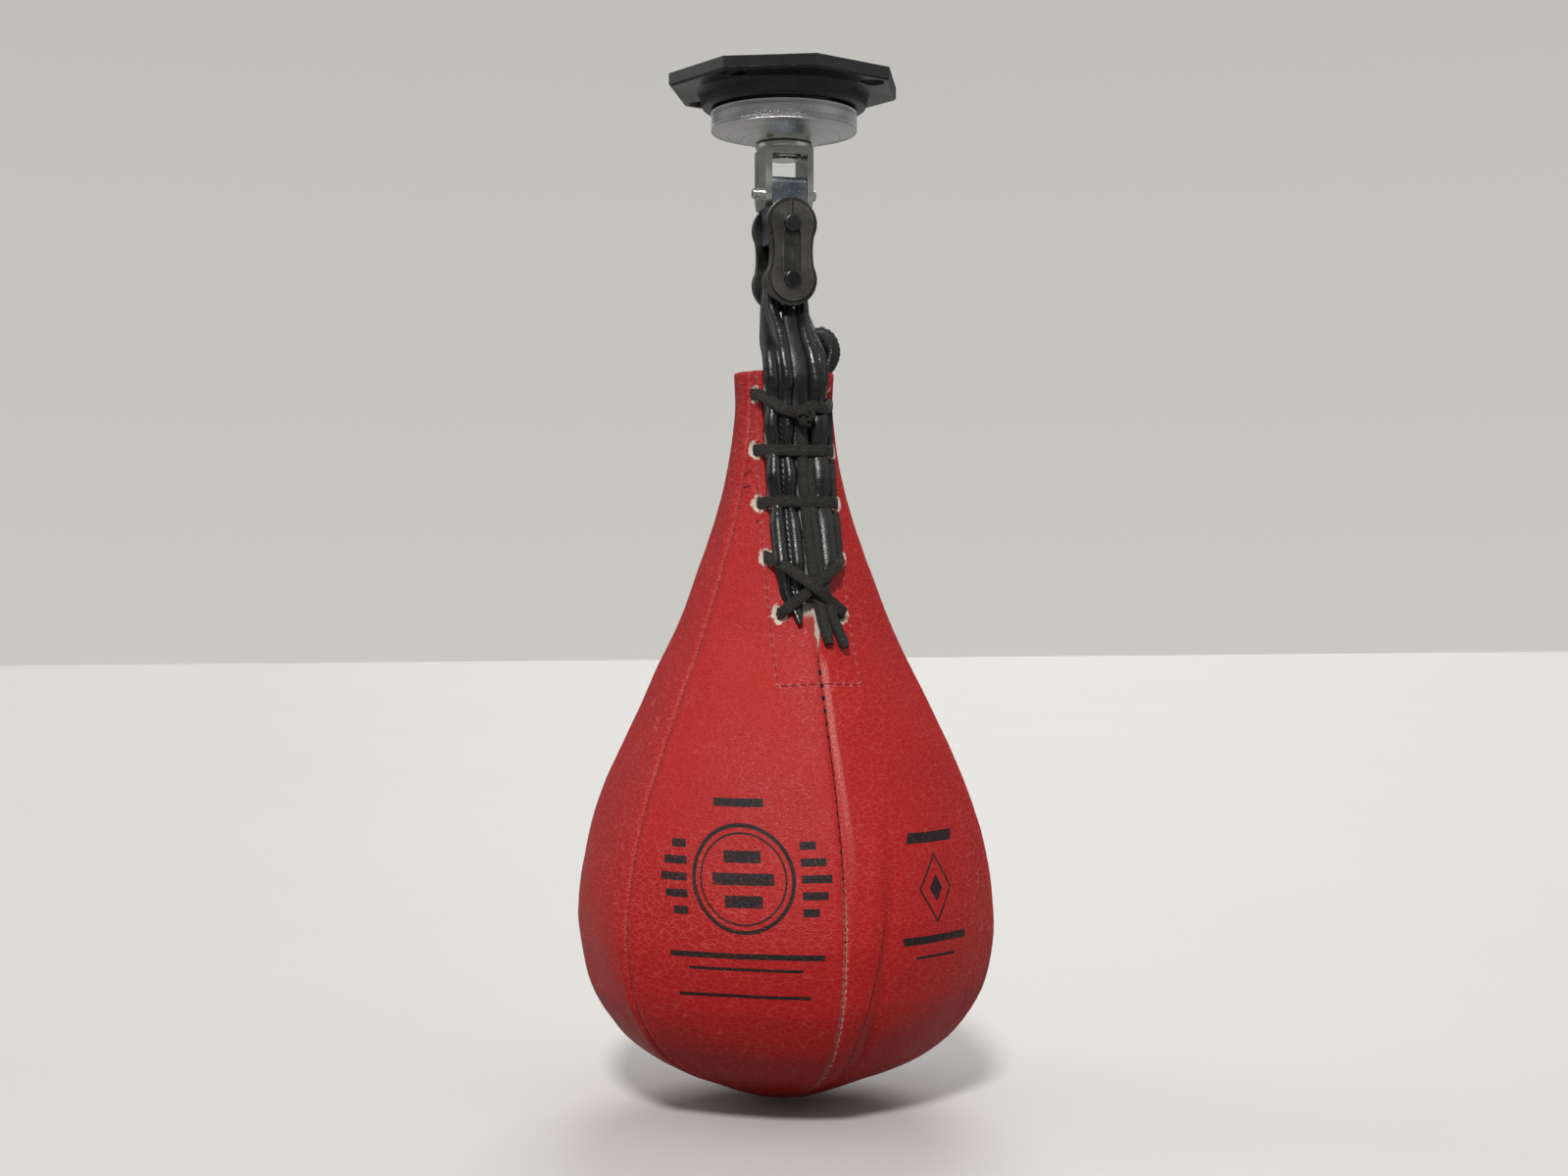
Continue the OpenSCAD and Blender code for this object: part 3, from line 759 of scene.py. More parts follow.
def backing_line(mat, place, across, down, color, height):
    """A dark sunk line of stitching, with pale stars where the thread goes through."""
    from_side = abs(abs(across) - BACKING_HALF)
    from_end = abs(down - BACKING_END)
    on_side = down.fall(BACKING_END - 0.2, BACKING_END + 0.2)
    on_end = abs(across).fall(BACKING_HALF - 0.1, BACKING_HALF + 0.3)
    line = (from_side.fall(0.15, 0.55) * on_side).max(from_end.fall(0.15, 0.55) * on_end)
    color = mat.mix(color, (0.13, 0.006, 0.008), line, amount=0.70)
    height = height - line * 1.2
    step_down = (down + 3.3) % BACKING_PITCH - BACKING_PITCH / 2
    step_across = (across + 41.0) % BACKING_PITCH - BACKING_PITCH / 2
    side_stars = distance_to(from_side, step_down).fall(0.4, 1.15) * on_side
    end_stars = distance_to(from_end, step_across).fall(0.4, 1.15) * on_end
    frayed = mat.noise(place, scale=1500.0, rough=0.7).rise(0.46, 0.60)
    stars = side_stars.max(end_stars) * frayed
    return mat.mix(color, (0.74, 0.42, 0.36), stars, amount=0.62), height


# Short nicks beside the left holes: across, down, half length, angle
NICKS = ((-24.5, 46.0, 3.6, 0.5), (-25.5, 52.5, 3.2, 0.15), (-20.8, 68.0, 1.6, 0.4))


def nicks(mat, across, down, color, height):
    for nick_x, nick_down, length, angle in NICKS:
        x, y = across - nick_x, down - nick_down
        cos, sin = math.cos(angle), math.sin(angle)
        along = x * cos + y * -sin
        beside = x * sin + y * cos
        mask = abs(along).fall(length * 0.5, length) * abs(beside).fall(0.25, 0.7)
        color = mat.mix(color, (0.09, 0.006, 0.008), mask, amount=0.85)
        height = height - mask * 1.4
    return color, height


def red_leather(name, prints=None):
    """Wrinkled red leather. A front panel has prints, and so also holes, seam wear, and painted
    shade in the holes and in the fold's crease.
    """
    mat, place = new_material(name)
    across, down, seam = mat.attr("u_mm"), mat.attr("v_mm"), mat.attr("seam_mm")
    # two nets of wrinkles, wider than tall, wavy and broken
    flat = mat.combine(across * 0.25, down * 0.43)
    warp = mat.noise(flat, scale=0.85, detail=2.0, output="Color")
    net = mat.cells(mat.warped(flat, warp, amount=(0.85, 0.75, 0.0)), scale=1.0)
    finer = mat.mapping(flat, scale=(1.9, 1.9, 1.0), shift=(3.1, 1.7, 0))
    fine_net = mat.cells(mat.warped(finer, warp, amount=(1.1, 1.0, 0.0)), scale=1.0)
    pebble = mat.cells(mat.combine(across, down), scale=1.35)
    tiny = mat.noise(place, scale=2600.0, detail=2.0, rough=0.6)
    patch = mat.noise(place, scale=30.0, rough=0.6)
    wide_patch = mat.noise(place, scale=9.0, detail=2.0, rough=0.5)
    broken = mat.noise(flat, scale=1.5, rough=0.6)
    # the left front panel's wrinkles are nearly pulled out between neck and belly
    shown = wide_patch.ramp(0.36, 0.58, 0.55, 1.0)
    if prints is left_prints:
        shown = shown * down.ramp(175.0, 235.0, 0.30, 1.0).max(down.ramp(60.0, 105.0, 0.8, 0.0))
    line = net.fall(0.0, 0.060) * broken.ramp(0.32, 0.52, 0.35, 1.0) * shown
    fine_line = fine_net.fall(0.0, 0.07) * broken.ramp(0.42, 0.60, 0.60, 0.06) * shown
    color = mat.mix((0.385, 0.0062, 0.0068), (0.475, 0.0098, 0.0092), patch)
    color = mat.mix(color, (0.29, 0.0050, 0.0075), wide_patch, amount=0.55)
    color = mat.mix(color, (0.64, 0.105, 0.082), line, amount=0.60)
    color = mat.mix(color, (0.58, 0.075, 0.060), fine_line, amount=0.28)
    # pale specks along the seams, and a dark groove in them
    speck = mat.noise(mat.combine(across * 1.0, down * 0.62), scale=2.1, rough=0.75)
    patchy = mat.noise(place, scale=55.0, detail=2.0).ramp(0.38, 0.62, 0.2, 1.0)
    wear = seam.fall(0.1, 2.2) * speck.rise(0.52, 0.66) * patchy
    color = mat.mix(color, (0.74, 0.42, 0.37), wear, amount=0.60)
    color = mat.mix(color, (0.13, 0.008, 0.010), seam.fall(0.0, 0.75), amount=0.60)
    height = (net.rise(0.0, 0.16) * shown * 0.62 + pebble.rise(0.0, 0.32) * 0.42
              + fine_net.rise(0.0, 0.12) * 0.25 + tiny * 0.22)
    rough = patch.ramp(0.3, 0.7, 0.34, 0.50)
    if prints:
        color, height = front_seam_wear_and_shade(mat, across, down, speck, color, height)
        color, height = lace_holes(mat, place, across, down, color, height)
        color, height = backing_line(mat, place, across, down, color, height)
        color, height = nicks(mat, across, down, color, height)
        ink, *others = prints(across, down)
        for mask in others:
            ink = ink.max(mask)
        # the ink is worn in specks and along the wrinkles
        ink = ink * mat.noise(place, scale=1100.0, rough=0.65).ramp(0.30, 0.42, 0.45, 1.0)
        ink = ink * line.ramp(0.4, 1.0, 1.0, 0.70)
        color = mat.mix(color, (0.011, 0.009, 0.010), ink)
        rough = rough + ink * 0.10
    # pale suede on the inner face
    inside = mat.attr("inside").rise(0.70, 0.85)
    fibres = mat.noise(place, scale=1200.0, rough=0.7)
    suede = mat.mix((0.50, 0.42, 0.34), (0.62, 0.55, 0.46), fibres)
    color = mat.mix(color, suede, inside)
    rough = (rough + inside * 0.4).clamped()
    normal = mat.bump(height, strength=0.46, distance=0.00050)
    return mat.surface(color=color, rough=rough, normal=normal, spec=0.27)


def black_leather(name, gloss, wrinkle, worn):
    """Creased where it bends. gloss is the least roughness, worn the dry part of straight runs."""
    mat, place = new_material(name)
    along, bend = mat.attr("along"), mat.attr("bend")
    wave = along * 4.2 + mat.noise(place, scale=230.0) * 9.0
    creases = abs(wave.sine()) ** 0.7
    grain = mat.cells(place, scale=1250.0)
    fine = mat.noise(place, scale=2100.0, rough=0.6)
    lump = mat.noise(place, scale=420.0, rough=0.6)
    patch = mat.noise(place, scale=75.0, rough=0.6)
    dry = mat.noise(place, scale=120.0, detail=4.0, rough=0.7).rise(0.50, 0.68)
    dry = (dry * (bend * 0.8 + worn)).clamped()
    color = mat.mix((0.0042, 0.0042, 0.0044), (0.0095, 0.0095, 0.0096), patch)
    color = mat.mix(color, (0.055, 0.050, 0.043), dry * fine.rise(0.45, 0.62))
    creased = bend * 0.9 + patch.ramp(0.38, 0.62, 0.35, 1.0) * (0.34 * wrinkle)
    height = (creases * creased + grain.rise(0, 0.3) * (0.17 * wrinkle)
              + lump * (0.16 * wrinkle))
    rough = (patch.ramp(0.3, 0.7, gloss, gloss + 0.12) + dry * 0.45).clamped()
    normal = mat.bump(height, strength=0.33, distance=0.00040)
    return mat.surface(color=color, rough=rough, normal=normal, spec=0.50)


def lace_cord(name):
    mat, place = new_material(name)
    strands = mat.combine(mat.attr("along") * 0.25, mat.attr("around") * 26.0)
    fibre = mat.noise(strands, scale=1.6, detail=4.0, rough=0.65)
    fuzz = mat.noise(place, scale=1700.0, rough=0.65)
    color = mat.mix((0.0060, 0.0060, 0.0055), (0.034, 0.0325, 0.0275), fibre.rise(0.34, 0.66))
    color = mat.mix(color, (0.105, 0.096, 0.076), fuzz.rise(0.56, 0.70), amount=0.55)
    normal = mat.bump(fibre * 1.0 + fuzz * 0.7, strength=0.9, distance=0.0008)
    return mat.surface(color=color, rough=0.60, normal=normal, spec=0.32)


def lining_cloth(name):
    """Pale woven cloth, red low down except at the right edge."""
    mat, place = new_material(name)
    x, _, z = mat.xyz(place)
    per_thread = TURN / 0.0009
    weave = (x * per_thread).sine() * (z * per_thread).sine()
    stain = mat.noise(place, scale=60.0)
    color = mat.mix((0.66, 0.60, 0.50), (0.44, 0.35, 0.29), stain)
    ragged_x = x + mat.noise(place, scale=300.0) * 0.003
    foot = z.rise((NECK_Z - 108) * MM, (NECK_Z - 112) * MM) * ragged_x.fall(0.0021, 0.0029)
    color = mat.mix(color, (0.42, 0.013, 0.012), foot, amount=0.92)
    height = weave + mat.noise(place, scale=1400.0) * 0.8
    normal = mat.bump(height, strength=0.5, distance=0.0002)
    return mat.surface(color=color, rough=0.9, normal=normal, spec=0.2, sheen=0.2)


def black_paint(name):
    mat, place = new_material(name)
    speck = mat.noise(place, scale=2200.0, rough=0.6)
    cloud = mat.noise(place, scale=34.0, detail=4.0, rough=0.6)
    stretched = mat.mapping(place, scale=(1, 9, 4), turn=(0, 0, 0.5))
    scratch = mat.noise(stretched, scale=190.0, rough=0.7)
    wear = mat.edge_mask(radius=0.0007) * mat.noise(place, scale=260.0).rise(0.46, 0.66)
    color = mat.mix((0.0062, 0.0064, 0.0070), (0.0115, 0.0118, 0.0130), cloud)
    color = mat.mix(color, (0.10, 0.10, 0.105), scratch.rise(0.66, 0.72), amount=0.35)
    color = mat.mix(color, (0.22, 0.22, 0.225), wear, amount=0.55)
    normal = mat.bump(speck, strength=0.16, distance=0.00018)
    return mat.surface(color=color, rough=cloud.ramp(0.3, 0.7, 0.26, 0.38), normal=normal,
                       spec=0.42)


def turned_aluminium(name):
    """Fine turning marks in rings about Z."""
    mat, place = new_material(name)
    x, y, z = mat.xyz(place)
    radius = distance_to(x, y)
    lines = mat.noise(mat.combine(radius * 1.0, 0.0, z * 0.4), scale=4200.0, detail=4.0,
                      rough=0.75)
    coarse = mat.noise(mat.combine(radius, 0.0), scale=900.0, rough=0.6)
    smudge = mat.noise(place, scale=48.0, detail=4.0, rough=0.6)
    rings = mat.noise(mat.combine(radius, 0.0, z * 0.3), scale=1500.0, detail=2.0, rough=0.6)
    color = mat.mix((0.52, 0.525, 0.54), (0.88, 0.88, 0.89), lines)
    color = mat.mix(color, (0.34, 0.34, 0.35), rings.ramp(0.44, 0.60, 0.0, 0.55))
    color = mat.mix(color, (0.62, 0.60, 0.56), smudge.rise(0.55, 0.75), amount=0.35)
    height = lines * 0.6 + (coarse * 0.5 + rings * 0.8)
    return mat.surface(color=color, rough=smudge.ramp(0.3, 0.75, 0.14, 0.27) + lines * 0.10,
                       metal=1.0, normal=mat.bump(height, strength=0.35, distance=0.00012),
                       aniso=0.72, tangent=mat.add("Tangent", direction_type="RADIAL", axis="Z"))


def plated_steel(name, dark, light, tint, rough, scratches):
    """Clouded steel with fine scratches both ways and bright edges."""
    mat, place = new_material(name)
    cloud = mat.noise(place, scale=70.0, detail=4.0, rough=0.6)
    spangle = mat.noise(place, scale=320.0, rough=0.65)
    first = mat.mapping(place, scale=(14, 1, 1.5), turn=(0.2, 0.3, 0.6))
    first = mat.noise(first, scale=160.0, rough=0.75).rise(0.64, 0.72)
    second = mat.mapping(place, scale=(1, 1.4, 16), turn=(0.5, 0.1, -0.4))
    second = mat.noise(second, scale=150.0, rough=0.75).rise(0.65, 0.73)
    scratch = first.max(second)
    color = mat.mix(dark, light, cloud)
    color = mat.mix(color, tint, spangle.rise(0.50, 0.68), amount=0.5)
    color = mat.mix(color, (0.82, 0.83, 0.85), scratch, amount=scratches)
    color = mat.mix(color, (0.72, 0.72, 0.70), mat.edge_mask(radius=0.0005), amount=0.50)
    normal = mat.bump(spangle * 0.6 + scratch * -0.8, strength=0.20, distance=0.00018)
    roughness = cloud.ramp(0.3, 0.7, *rough) + spangle * 0.08
    return mat.surface(color=color, rough=roughness, metal=1.0, normal=normal)


def rubber(name, dark):
    mat, place = new_material(name)
    cloud = mat.noise(place, scale=60.0, detail=4.0)
    grain = mat.noise(place, scale=1500.0, detail=2.0)
    color = mat.mix(dark, tuple(min(1, 1.9 * c) for c in dark), cloud)
    normal = mat.bump(grain, strength=0.25, distance=0.0002)
    return mat.surface(color=color, rough=cloud.ramp(0.3, 0.7, 0.55, 0.75), normal=normal,
                       spec=0.4)


def thread(name, dark):
    mat, place = new_material(name)
    twist = mat.noise(place, scale=3500.0, detail=2.0)
    color = mat.mix(dark, tuple(min(1, 1.7 * c + 0.02) for c in dark), twist)
    normal = mat.bump(twist, strength=0.5, distance=0.00015)
    return mat.surface(color=color, rough=0.6, normal=normal, spec=0.35)


MATERIALS = {
    "leather": red_leather("red_leather_plain"),
    "leather_left": red_leather("red_leather_front_left", left_prints),
    "leather_right": red_leather("red_leather_front_right", right_prints),
    "strap": black_leather("rolled_black_leather", gloss=0.17, wrinkle=1.0, worn=0.22),
    "loop": black_leather("creased_black_leather", gloss=0.26, wrinkle=1.35, worn=0.55),
    "lace": lace_cord("black_lace_cord"),
    "lining": lining_cloth("pale_lining_cloth"),
    "paint": black_paint("black_painted_metal"),
    "aluminium": turned_aluminium("turned_aluminium"),
}
# Steels: key, name, dark color, light color, tint, least and most roughness, scratch strength
for key, *steel in (
        ("zinc", "zinc_passivated_steel", (0.50, 0.515, 0.455), (0.70, 0.71, 0.67),
         (0.52, 0.54, 0.39), (0.20, 0.36), 0.5),
        ("block", "blue_zinc_steel", (0.22, 0.255, 0.32), (0.40, 0.44, 0.51),
         (0.46, 0.45, 0.33), (0.20, 0.38), 0.75),
        ("link", "gunmetal_steel", (0.075, 0.074, 0.070), (0.125, 0.122, 0.113),
         (0.10, 0.095, 0.078), (0.26, 0.40), 0.18),
        ("clip", "clip_spring_steel", (0.150, 0.146, 0.134), (0.230, 0.222, 0.200),
         (0.18, 0.166, 0.130), (0.22, 0.34), 0.22),
        ("link_pin", "dark_pin_steel", (0.055, 0.055, 0.058), (0.10, 0.10, 0.104),
         (0.075, 0.070, 0.064), (0.20, 0.34), 0.25),
        ("pin", "bright_pin_steel", (0.60, 0.61, 0.62), (0.74, 0.75, 0.76),
         (0.60, 0.60, 0.58), (0.14, 0.26), 0.4),
        ("bearing", "ground_bearing_steel", (0.55, 0.56, 0.57), (0.68, 0.69, 0.70),
         (0.60, 0.60, 0.60), (0.10, 0.20), 0.2),
        ("spring", "phosphated_steel", (0.035, 0.036, 0.038), (0.06, 0.061, 0.063),
         (0.05, 0.05, 0.05), (0.40, 0.55), 0.2)):
    MATERIALS[key] = plated_steel(*steel)
MATERIALS["rubber"] = rubber("bladder_rubber", dark=(0.022, 0.019, 0.017))
MATERIALS["valve"] = rubber("valve_rubber", dark=(0.055, 0.050, 0.046))
MATERIALS["thread_red"] = thread("red_thread", dark=(0.30, 0.012, 0.014))
MATERIALS["thread_black"] = thread("black_thread", dark=(0.012, 0.012, 0.013))


def dress(ob, material, body="bag", node=None):
    """Gives a piece its material and body, and hides the CAD node it replaces, if any."""
    ob.data.materials.clear()
    ob.data.materials.append(MATERIALS[material])
    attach(ob, body)
    if node:
        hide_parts(node)


# ---------------------------------------------------------------------------------------------
# Leather panels, lining and bladder
# ---------------------------------------------------------------------------------------------
INFLATED = inflate()


def panel(node, start, material):
    """One of the six panels, from the start angle in degrees to 60 degrees on."""
    rows, cols = 236, 62
    arcs = np.linspace(0.0, ARC[-1] - 0.4, rows)
    spread = np.linspace(0, 1, cols)
    spread = spread - 0.155 * np.sin(TURN * spread)        # columns crowd at both edges
    gap = np.radians(0.10)
    low = np.full(rows, np.radians(start) + gap)
    high = np.full(rows, np.radians(start + 60) - gap)
    down = outline_at(arcs)[1]
    cut = np.arcsin(np.clip(np.interp(down, *SLIT) / radius_at(down), 0, 0.95))
    if start == 0:
        low = np.maximum(low, cut)
    if start == -60:
        high = np.minimum(high, -cut)
    angle = (low[:, None] + (high - low)[:, None] * spread[None, :]).ravel()
    arc = np.repeat(arcs, cols)
    outer = surface(arc, angle)
    inner = surface(arc, angle, LEATHER_THICK)
    down = outline_at(arc)[1]
    radius = radius_at(down)
    if start in (0, -60):
        # each hole is a dip with a low rim
        outward = polar(1, angle, 0)
        for hole_down, hole_x in HOLES:
            distance = np.hypot(np.abs(angle * radius) - hole_x, down - hole_down)
            dip = (1.5 * np.exp(-(distance / 2.3) ** 4)
                   - 0.35 * np.exp(-((distance - 4.0) / 1.2) ** 2))
            outer = outer - outward * dip[:, None]
            inner = inner - outward * dip[:, None]
    ob = slab(node + "_leather", outer, inner, rows, cols)
    for name, values in (("u_mm", angle * radius), ("v_mm", down),
                         ("seam_mm", seam_angle(angle) * radius)):
        attribute(ob, name, np.concatenate([values, values]))
    attribute(ob, "inside", np.repeat([0.0, 1.0], len(angle)))
    dress(ob, material, node=node)


for node, start, material in (
        ("panel_front_left", -60, "leather_left"), ("panel_front_right", 0, "leather_right"),
        ("panel_right", 60, "leather"), ("panel_back_right", 120, "leather"),
        ("panel_back_left", -180, "leather"), ("panel_left", -120, "leather")):
    panel(node, start, material)


def neck_lining():
    """The cloth behind the lacing."""
    rows, cols = 100, 40
    arcs = np.linspace(arc_at(1.0), arc_at(139.0), rows)
    half = np.arcsin(np.clip(19.0 / radius_at(outline_at(arcs)[1]), 0, 0.82))
    angle = (half[:, None] * np.linspace(-1, 1, cols)[None, :]).ravel()
    arc = np.repeat(arcs, cols)
    outer = surface(arc, angle, 2.25, lumps=False)
    inner = surface(arc, angle, 3.0, lumps=False)
    ob = slab("neck_lining_cloth", outer, inner, rows, cols)
    dress(ob, "lining", node="neck_lining")


def bladder():
    around = np.linspace(-math.pi, math.pi, 72, endpoint=False)
    # stem and shoulder: radius, down
    stem = [(5.0, 70.0), (5.0, 88.0), (5.0, 104.0), (7.5, 111.0), (15.0, 118.0),
            (27.0, 126.0), (41.0, 137.0)]
    rings = [polar(radius, around, NECK_Z - down) for radius, down in stem]
    for arc in np.linspace(arc_at(150.0), ARC[-1] - 0.5, 90):
        ring = surface(np.full(len(around), arc), around, 5.4, lumps=False)
        rings.append(ring * [0.985, 0.985, 1.0])
    dress(ring_body("bladder_shell", rings), "rubber", node="bladder")


neck_lining()
bladder()


# ---------------------------------------------------------------------------------------------
# Straps and side loop
# ---------------------------------------------------------------------------------------------
# Where the hang strap's legs are pressed flat: distances down
STRAP_NIPS = [LACE_ROWS[0][0] + 3.0, LACE_ROWS[1][0], LACE_ROWS[2][0], 97.0]


def on_bag(x, down, lift):
    """A point lift in front of the leather's arc, flatter near the middle."""
    radius = float(radius_at(down))
    flat = math.sqrt(max(radius * radius - 0.35 * x * x, 1.0))
    true = math.sqrt(max(radius * radius - x * x, 1.0))
    weight = float(smoothstep(10.5, 17.0, abs(x)))
    return [x, -(flat * (1 - weight) + true * weight + lift), NECK_Z - down]


def fullness(down):
    """How full a strap leg is: 0 where pressed flat, 1 well between."""
    if down > 108:
        return 0.6
    nearest = min(abs(down - nip) for nip in STRAP_NIPS)
    return float(smoothstep(1.5, 10.0, nearest)) if down < 97 else 0.0


def two_lobes(width, thickness, groove, count=44):
    """Two round cords side by side; with groove at 0 they are one."""
    angles = np.linspace(0, TURN, count, endpoint=False)
    x, y = np.cos(angles), np.sin(angles)
    across = width / 2 * np.sign(x) * np.abs(x) ** 0.92
    part = np.abs(across) / (width / 2)
    one = np.sqrt(np.clip(1 - part ** 2.2, 0, 1))
    lobe = np.sqrt(np.clip(1 - ((part - 0.5) / 0.5) ** 2, 0, 1))
    two = np.where(part > 0.5, lobe, np.maximum(lobe, 0.30))
    weight = min(1.0, groove / 0.45)
    height = one * (1 - weight) + two * weight
    return np.stack([across, thickness / 2 * np.sign(y) * height], 1)


def strap_path():
    """Up the left leg, over the link pin and down the right leg.

    Columns: x, y, z, width, thickness, groove, x and y of the side vector.
    """
    path = []
    for down in (114, 110, 105, 100, 94, 88, 82, 76, 70, 66, 63, 60, 57, 54, 50, 46, 42, 39, 36,
                 33, 30, 26, 22, 18, 14, 10, 5):
        full = fullness(down)
        end = float(smoothstep(116, 96, down))
        width = (11.6 + 2.6 * full) * end + 1.6 * (1 - end)
        thick = (5.6 + 2.6 * full) * end + 1.2 * (1 - end)
        sink = 2.3 * float(smoothstep(88, 103, down))
        place = on_bag(-8.3 - 0.35 * full + 1.9 * (1 - end), down,
                       -thick / 2 + 2.9 + 1.9 * full - sink)
        path.append(place + [width, thick, 0.46 * end, 1, 0])
    path += [[-9.2, -20.5, NECK_Z + 6, 13.0, 6.6, 0.38, 1, -0.1],
             [-8.8, -13.0, NECK_Z + 16, 12.8, 6.2, 0.36, 0.75, -0.65],
             [-8.0, -4.2, NECK_Z + 27, 10.6, 6.4, 0.34, 0.3, -0.95],
             [-7.2, -0.6, STRAP_PIN_Z - 4, 12.8, 5.8, 0.34, 0.0, -1]]
    bend_r = STRAP_PIN_R + 3.15
    for degrees in range(180, -1, -30):
        angle = math.radians(degrees)
        path.append([bend_r * math.cos(angle), 0.0, STRAP_PIN_Z + bend_r * math.sin(angle),
                     14.0, 5.9, 0.34, 0, -1])
    path += [[7.2, -0.6, STRAP_PIN_Z - 4, 12.8, 5.8, 0.34, 0.0, -1],
             [7.8, -4.2, NECK_Z + 27, 10.4, 6.4, 0.30, -0.3, -0.95],
             [8.3, -13.0, NECK_Z + 16, 11.4, 6.4, 0.22, -0.75, -0.65],
             [9.0, -20.5, NECK_Z + 6, 10.2, 6.8, 0.14, -1, -0.1]]
    for down in (5, 10, 14, 18, 22, 26, 30, 33, 36, 39, 42, 46, 50, 54, 57, 60, 63, 66, 70, 76,
                 82, 88, 93, 98, 102):
        full = fullness(down)
        end = float(smoothstep(104, 84, down))
        width = (8.2 + 1.9 * full) * end + 1.8 * (1 - end)
        thick = (5.8 + 2.4 * full) * end + 1.2 * (1 - end)
        place = on_bag(8.9 + 0.5 * full - 3.4 * (1 - end), down, -thick / 2 + 3.0 + 1.9 * full)
        path.append(place + [width, thick, 0.0, -1, 0])
    return resample(path, 0.9)


def strap_body():
    def section(i):
        along = STRAP_LENGTHS[i]
        wobble = 0.12 * math.sin(along * 2.9) + 0.08 * math.sin(along * 5.3 + 1)
        width, thick, groove = STRAP[i, 3:6]
        return two_lobes(width + wobble, thick + wobble, groove)

    return sweep("hang_strap_leather", STRAP[:, :3], STRAP_SIDE, section, STRAP_LENGTHS)


def strap_middle():
    """The flat middle leg, between the other two and up to the pin."""
    # columns: x, y, z, width, thickness
    path = [on_bag(1.2, down, -0.2) + [8.2, 3.4]
            for down in (104, 96, 86, 74, 62, 50, 38, 28, 18, 8, 2)]
    path += [[1.2, -19.0, NECK_Z + 7, 8.8, 3.6], [1.1, -14.0, NECK_Z + 15, 8.8, 3.6],
             [0.9, -8.5, NECK_Z + 23, 8.2, 3.4], [0.5, -5.0, NECK_Z + 29, 6.0, 3.0],
             [0.2, -3.0, NECK_Z + 33.5, 3.4, 2.4]]
    path, lengths = resample(path, 0.9)
    ob = sweep("hang_strap_middle", path[:, :3], np.tile([1.0, 0.0, 0.0], (len(path), 1)),
               lambda i: oval(path[i, 3], path[i, 4], 26, 2.6), lengths)
    dress(ob, "loop")


def side_loop():
    # columns: x, y, z above the neck's top, width, thickness
    path, lengths = resample([[x, y, NECK_Z + z, width, thick] for x, y, z, width, thick in (
        (7.6, -5.0, -26, 7.0, 5.4), (8.0, -5.2, -14, 7.4, 5.8), (8.3, -5.6, -2, 8.0, 6.6),
        (8.6, -6.2, 7, 8.4, 7.6), (10.6, -6.8, 14.2, 8.8, 8.2), (14.4, -7.2, 17.6, 9.0, 8.2),
        (18.4, -7.6, 15.6, 9.0, 8.2), (20.5, -7.8, 10.2, 8.6, 7.8), (19.4, -7.8, 4.8, 8.0, 7.0),
        (16.2, -7.6, -0.6, 7.2, 6.0), (14.2, -7.2, -9, 6.8, 5.4), (13.4, -7.0, -24, 6.2, 5.0)
    )], 0.55)

    def section(i):
        along = lengths[i]
        wrinkle = (0.22 * math.sin(along * 3.4 + 0.8 * math.sin(along * 0.9))
                   * math.exp(-((along - lengths[-1] * 0.52) / 16) ** 2))
        return oval(path[i, 3] * 0.94, path[i, 4] + 2 * wrinkle, 30, 2.2)

    side = np.tile([0.0, 1.0, 0.0], (len(path), 1))
    ob = sweep("side_loop_leather", path[:, :3], side, section, lengths)
    dress(ob, "loop", node="side_loop")


STRAP, STRAP_LENGTHS = strap_path()
STRAP_SIDE = np.stack([STRAP[:, 6], STRAP[:, 7], np.zeros(len(STRAP))], 1)
strap = strap_body()
strap_middle()
dress(strap, "strap", node="hang_strap")
side_loop()


# ---------------------------------------------------------------------------------------------
# Lace. Its spots are x, down and lift, as on_bag takes them
# ---------------------------------------------------------------------------------------------
def flat_cord(name, spots, width, thickness, taper=False):
    path, lengths = resample([on_bag(*spot) for spot in spots], 0.7)
    # the flat of the cord lies on what is under it
    normal = unit_rows(np.array([[0.012 * p[0], -1.0, 0.0] for p in path]))
    side = np.cross(unit_rows(np.gradient(path, axis=0)), normal)

    def section(i):
        size = 0.72 + 0.28 * min(1, (len(path) - 1 - i) / 5) if taper else 1.0
        wobble = 1 + 0.045 * math.sin(lengths[i] * 0.83 + 1.3) + 0.02 * math.sin(lengths[i] * 2.1)
        ring = oval(width * size * wobble, thickness * (0.9 + 0.1 * size), 22, 3.4)
        curl = 0.30 * math.sin(lengths[i] * 0.55 + 0.7)
        bow = -0.10 * thickness * (ring[:, 0] / (width / 2)) ** 2
        ring[:, 1] += bow + 0.10 * curl * ring[:, 0]
        return ring

    ob = sweep(name, path, side, section, lengths)
    dress(ob, "lace")
    return ob


def straight_row(row, sag):
    down, half = LACE_ROWS[row]
    spots = [(-half, down, -3.0)]
    for x in np.linspace(-half, half, 13):
        x = float(x)
        lift = 3.5 * max(0.0, 1 - abs(x / half) ** 4.0) ** 0.55 + 0.55
        spots.append((x, down + sag * (1 - (x / half) ** 2), lift))
    return spots + [(half, down, -3.0)]


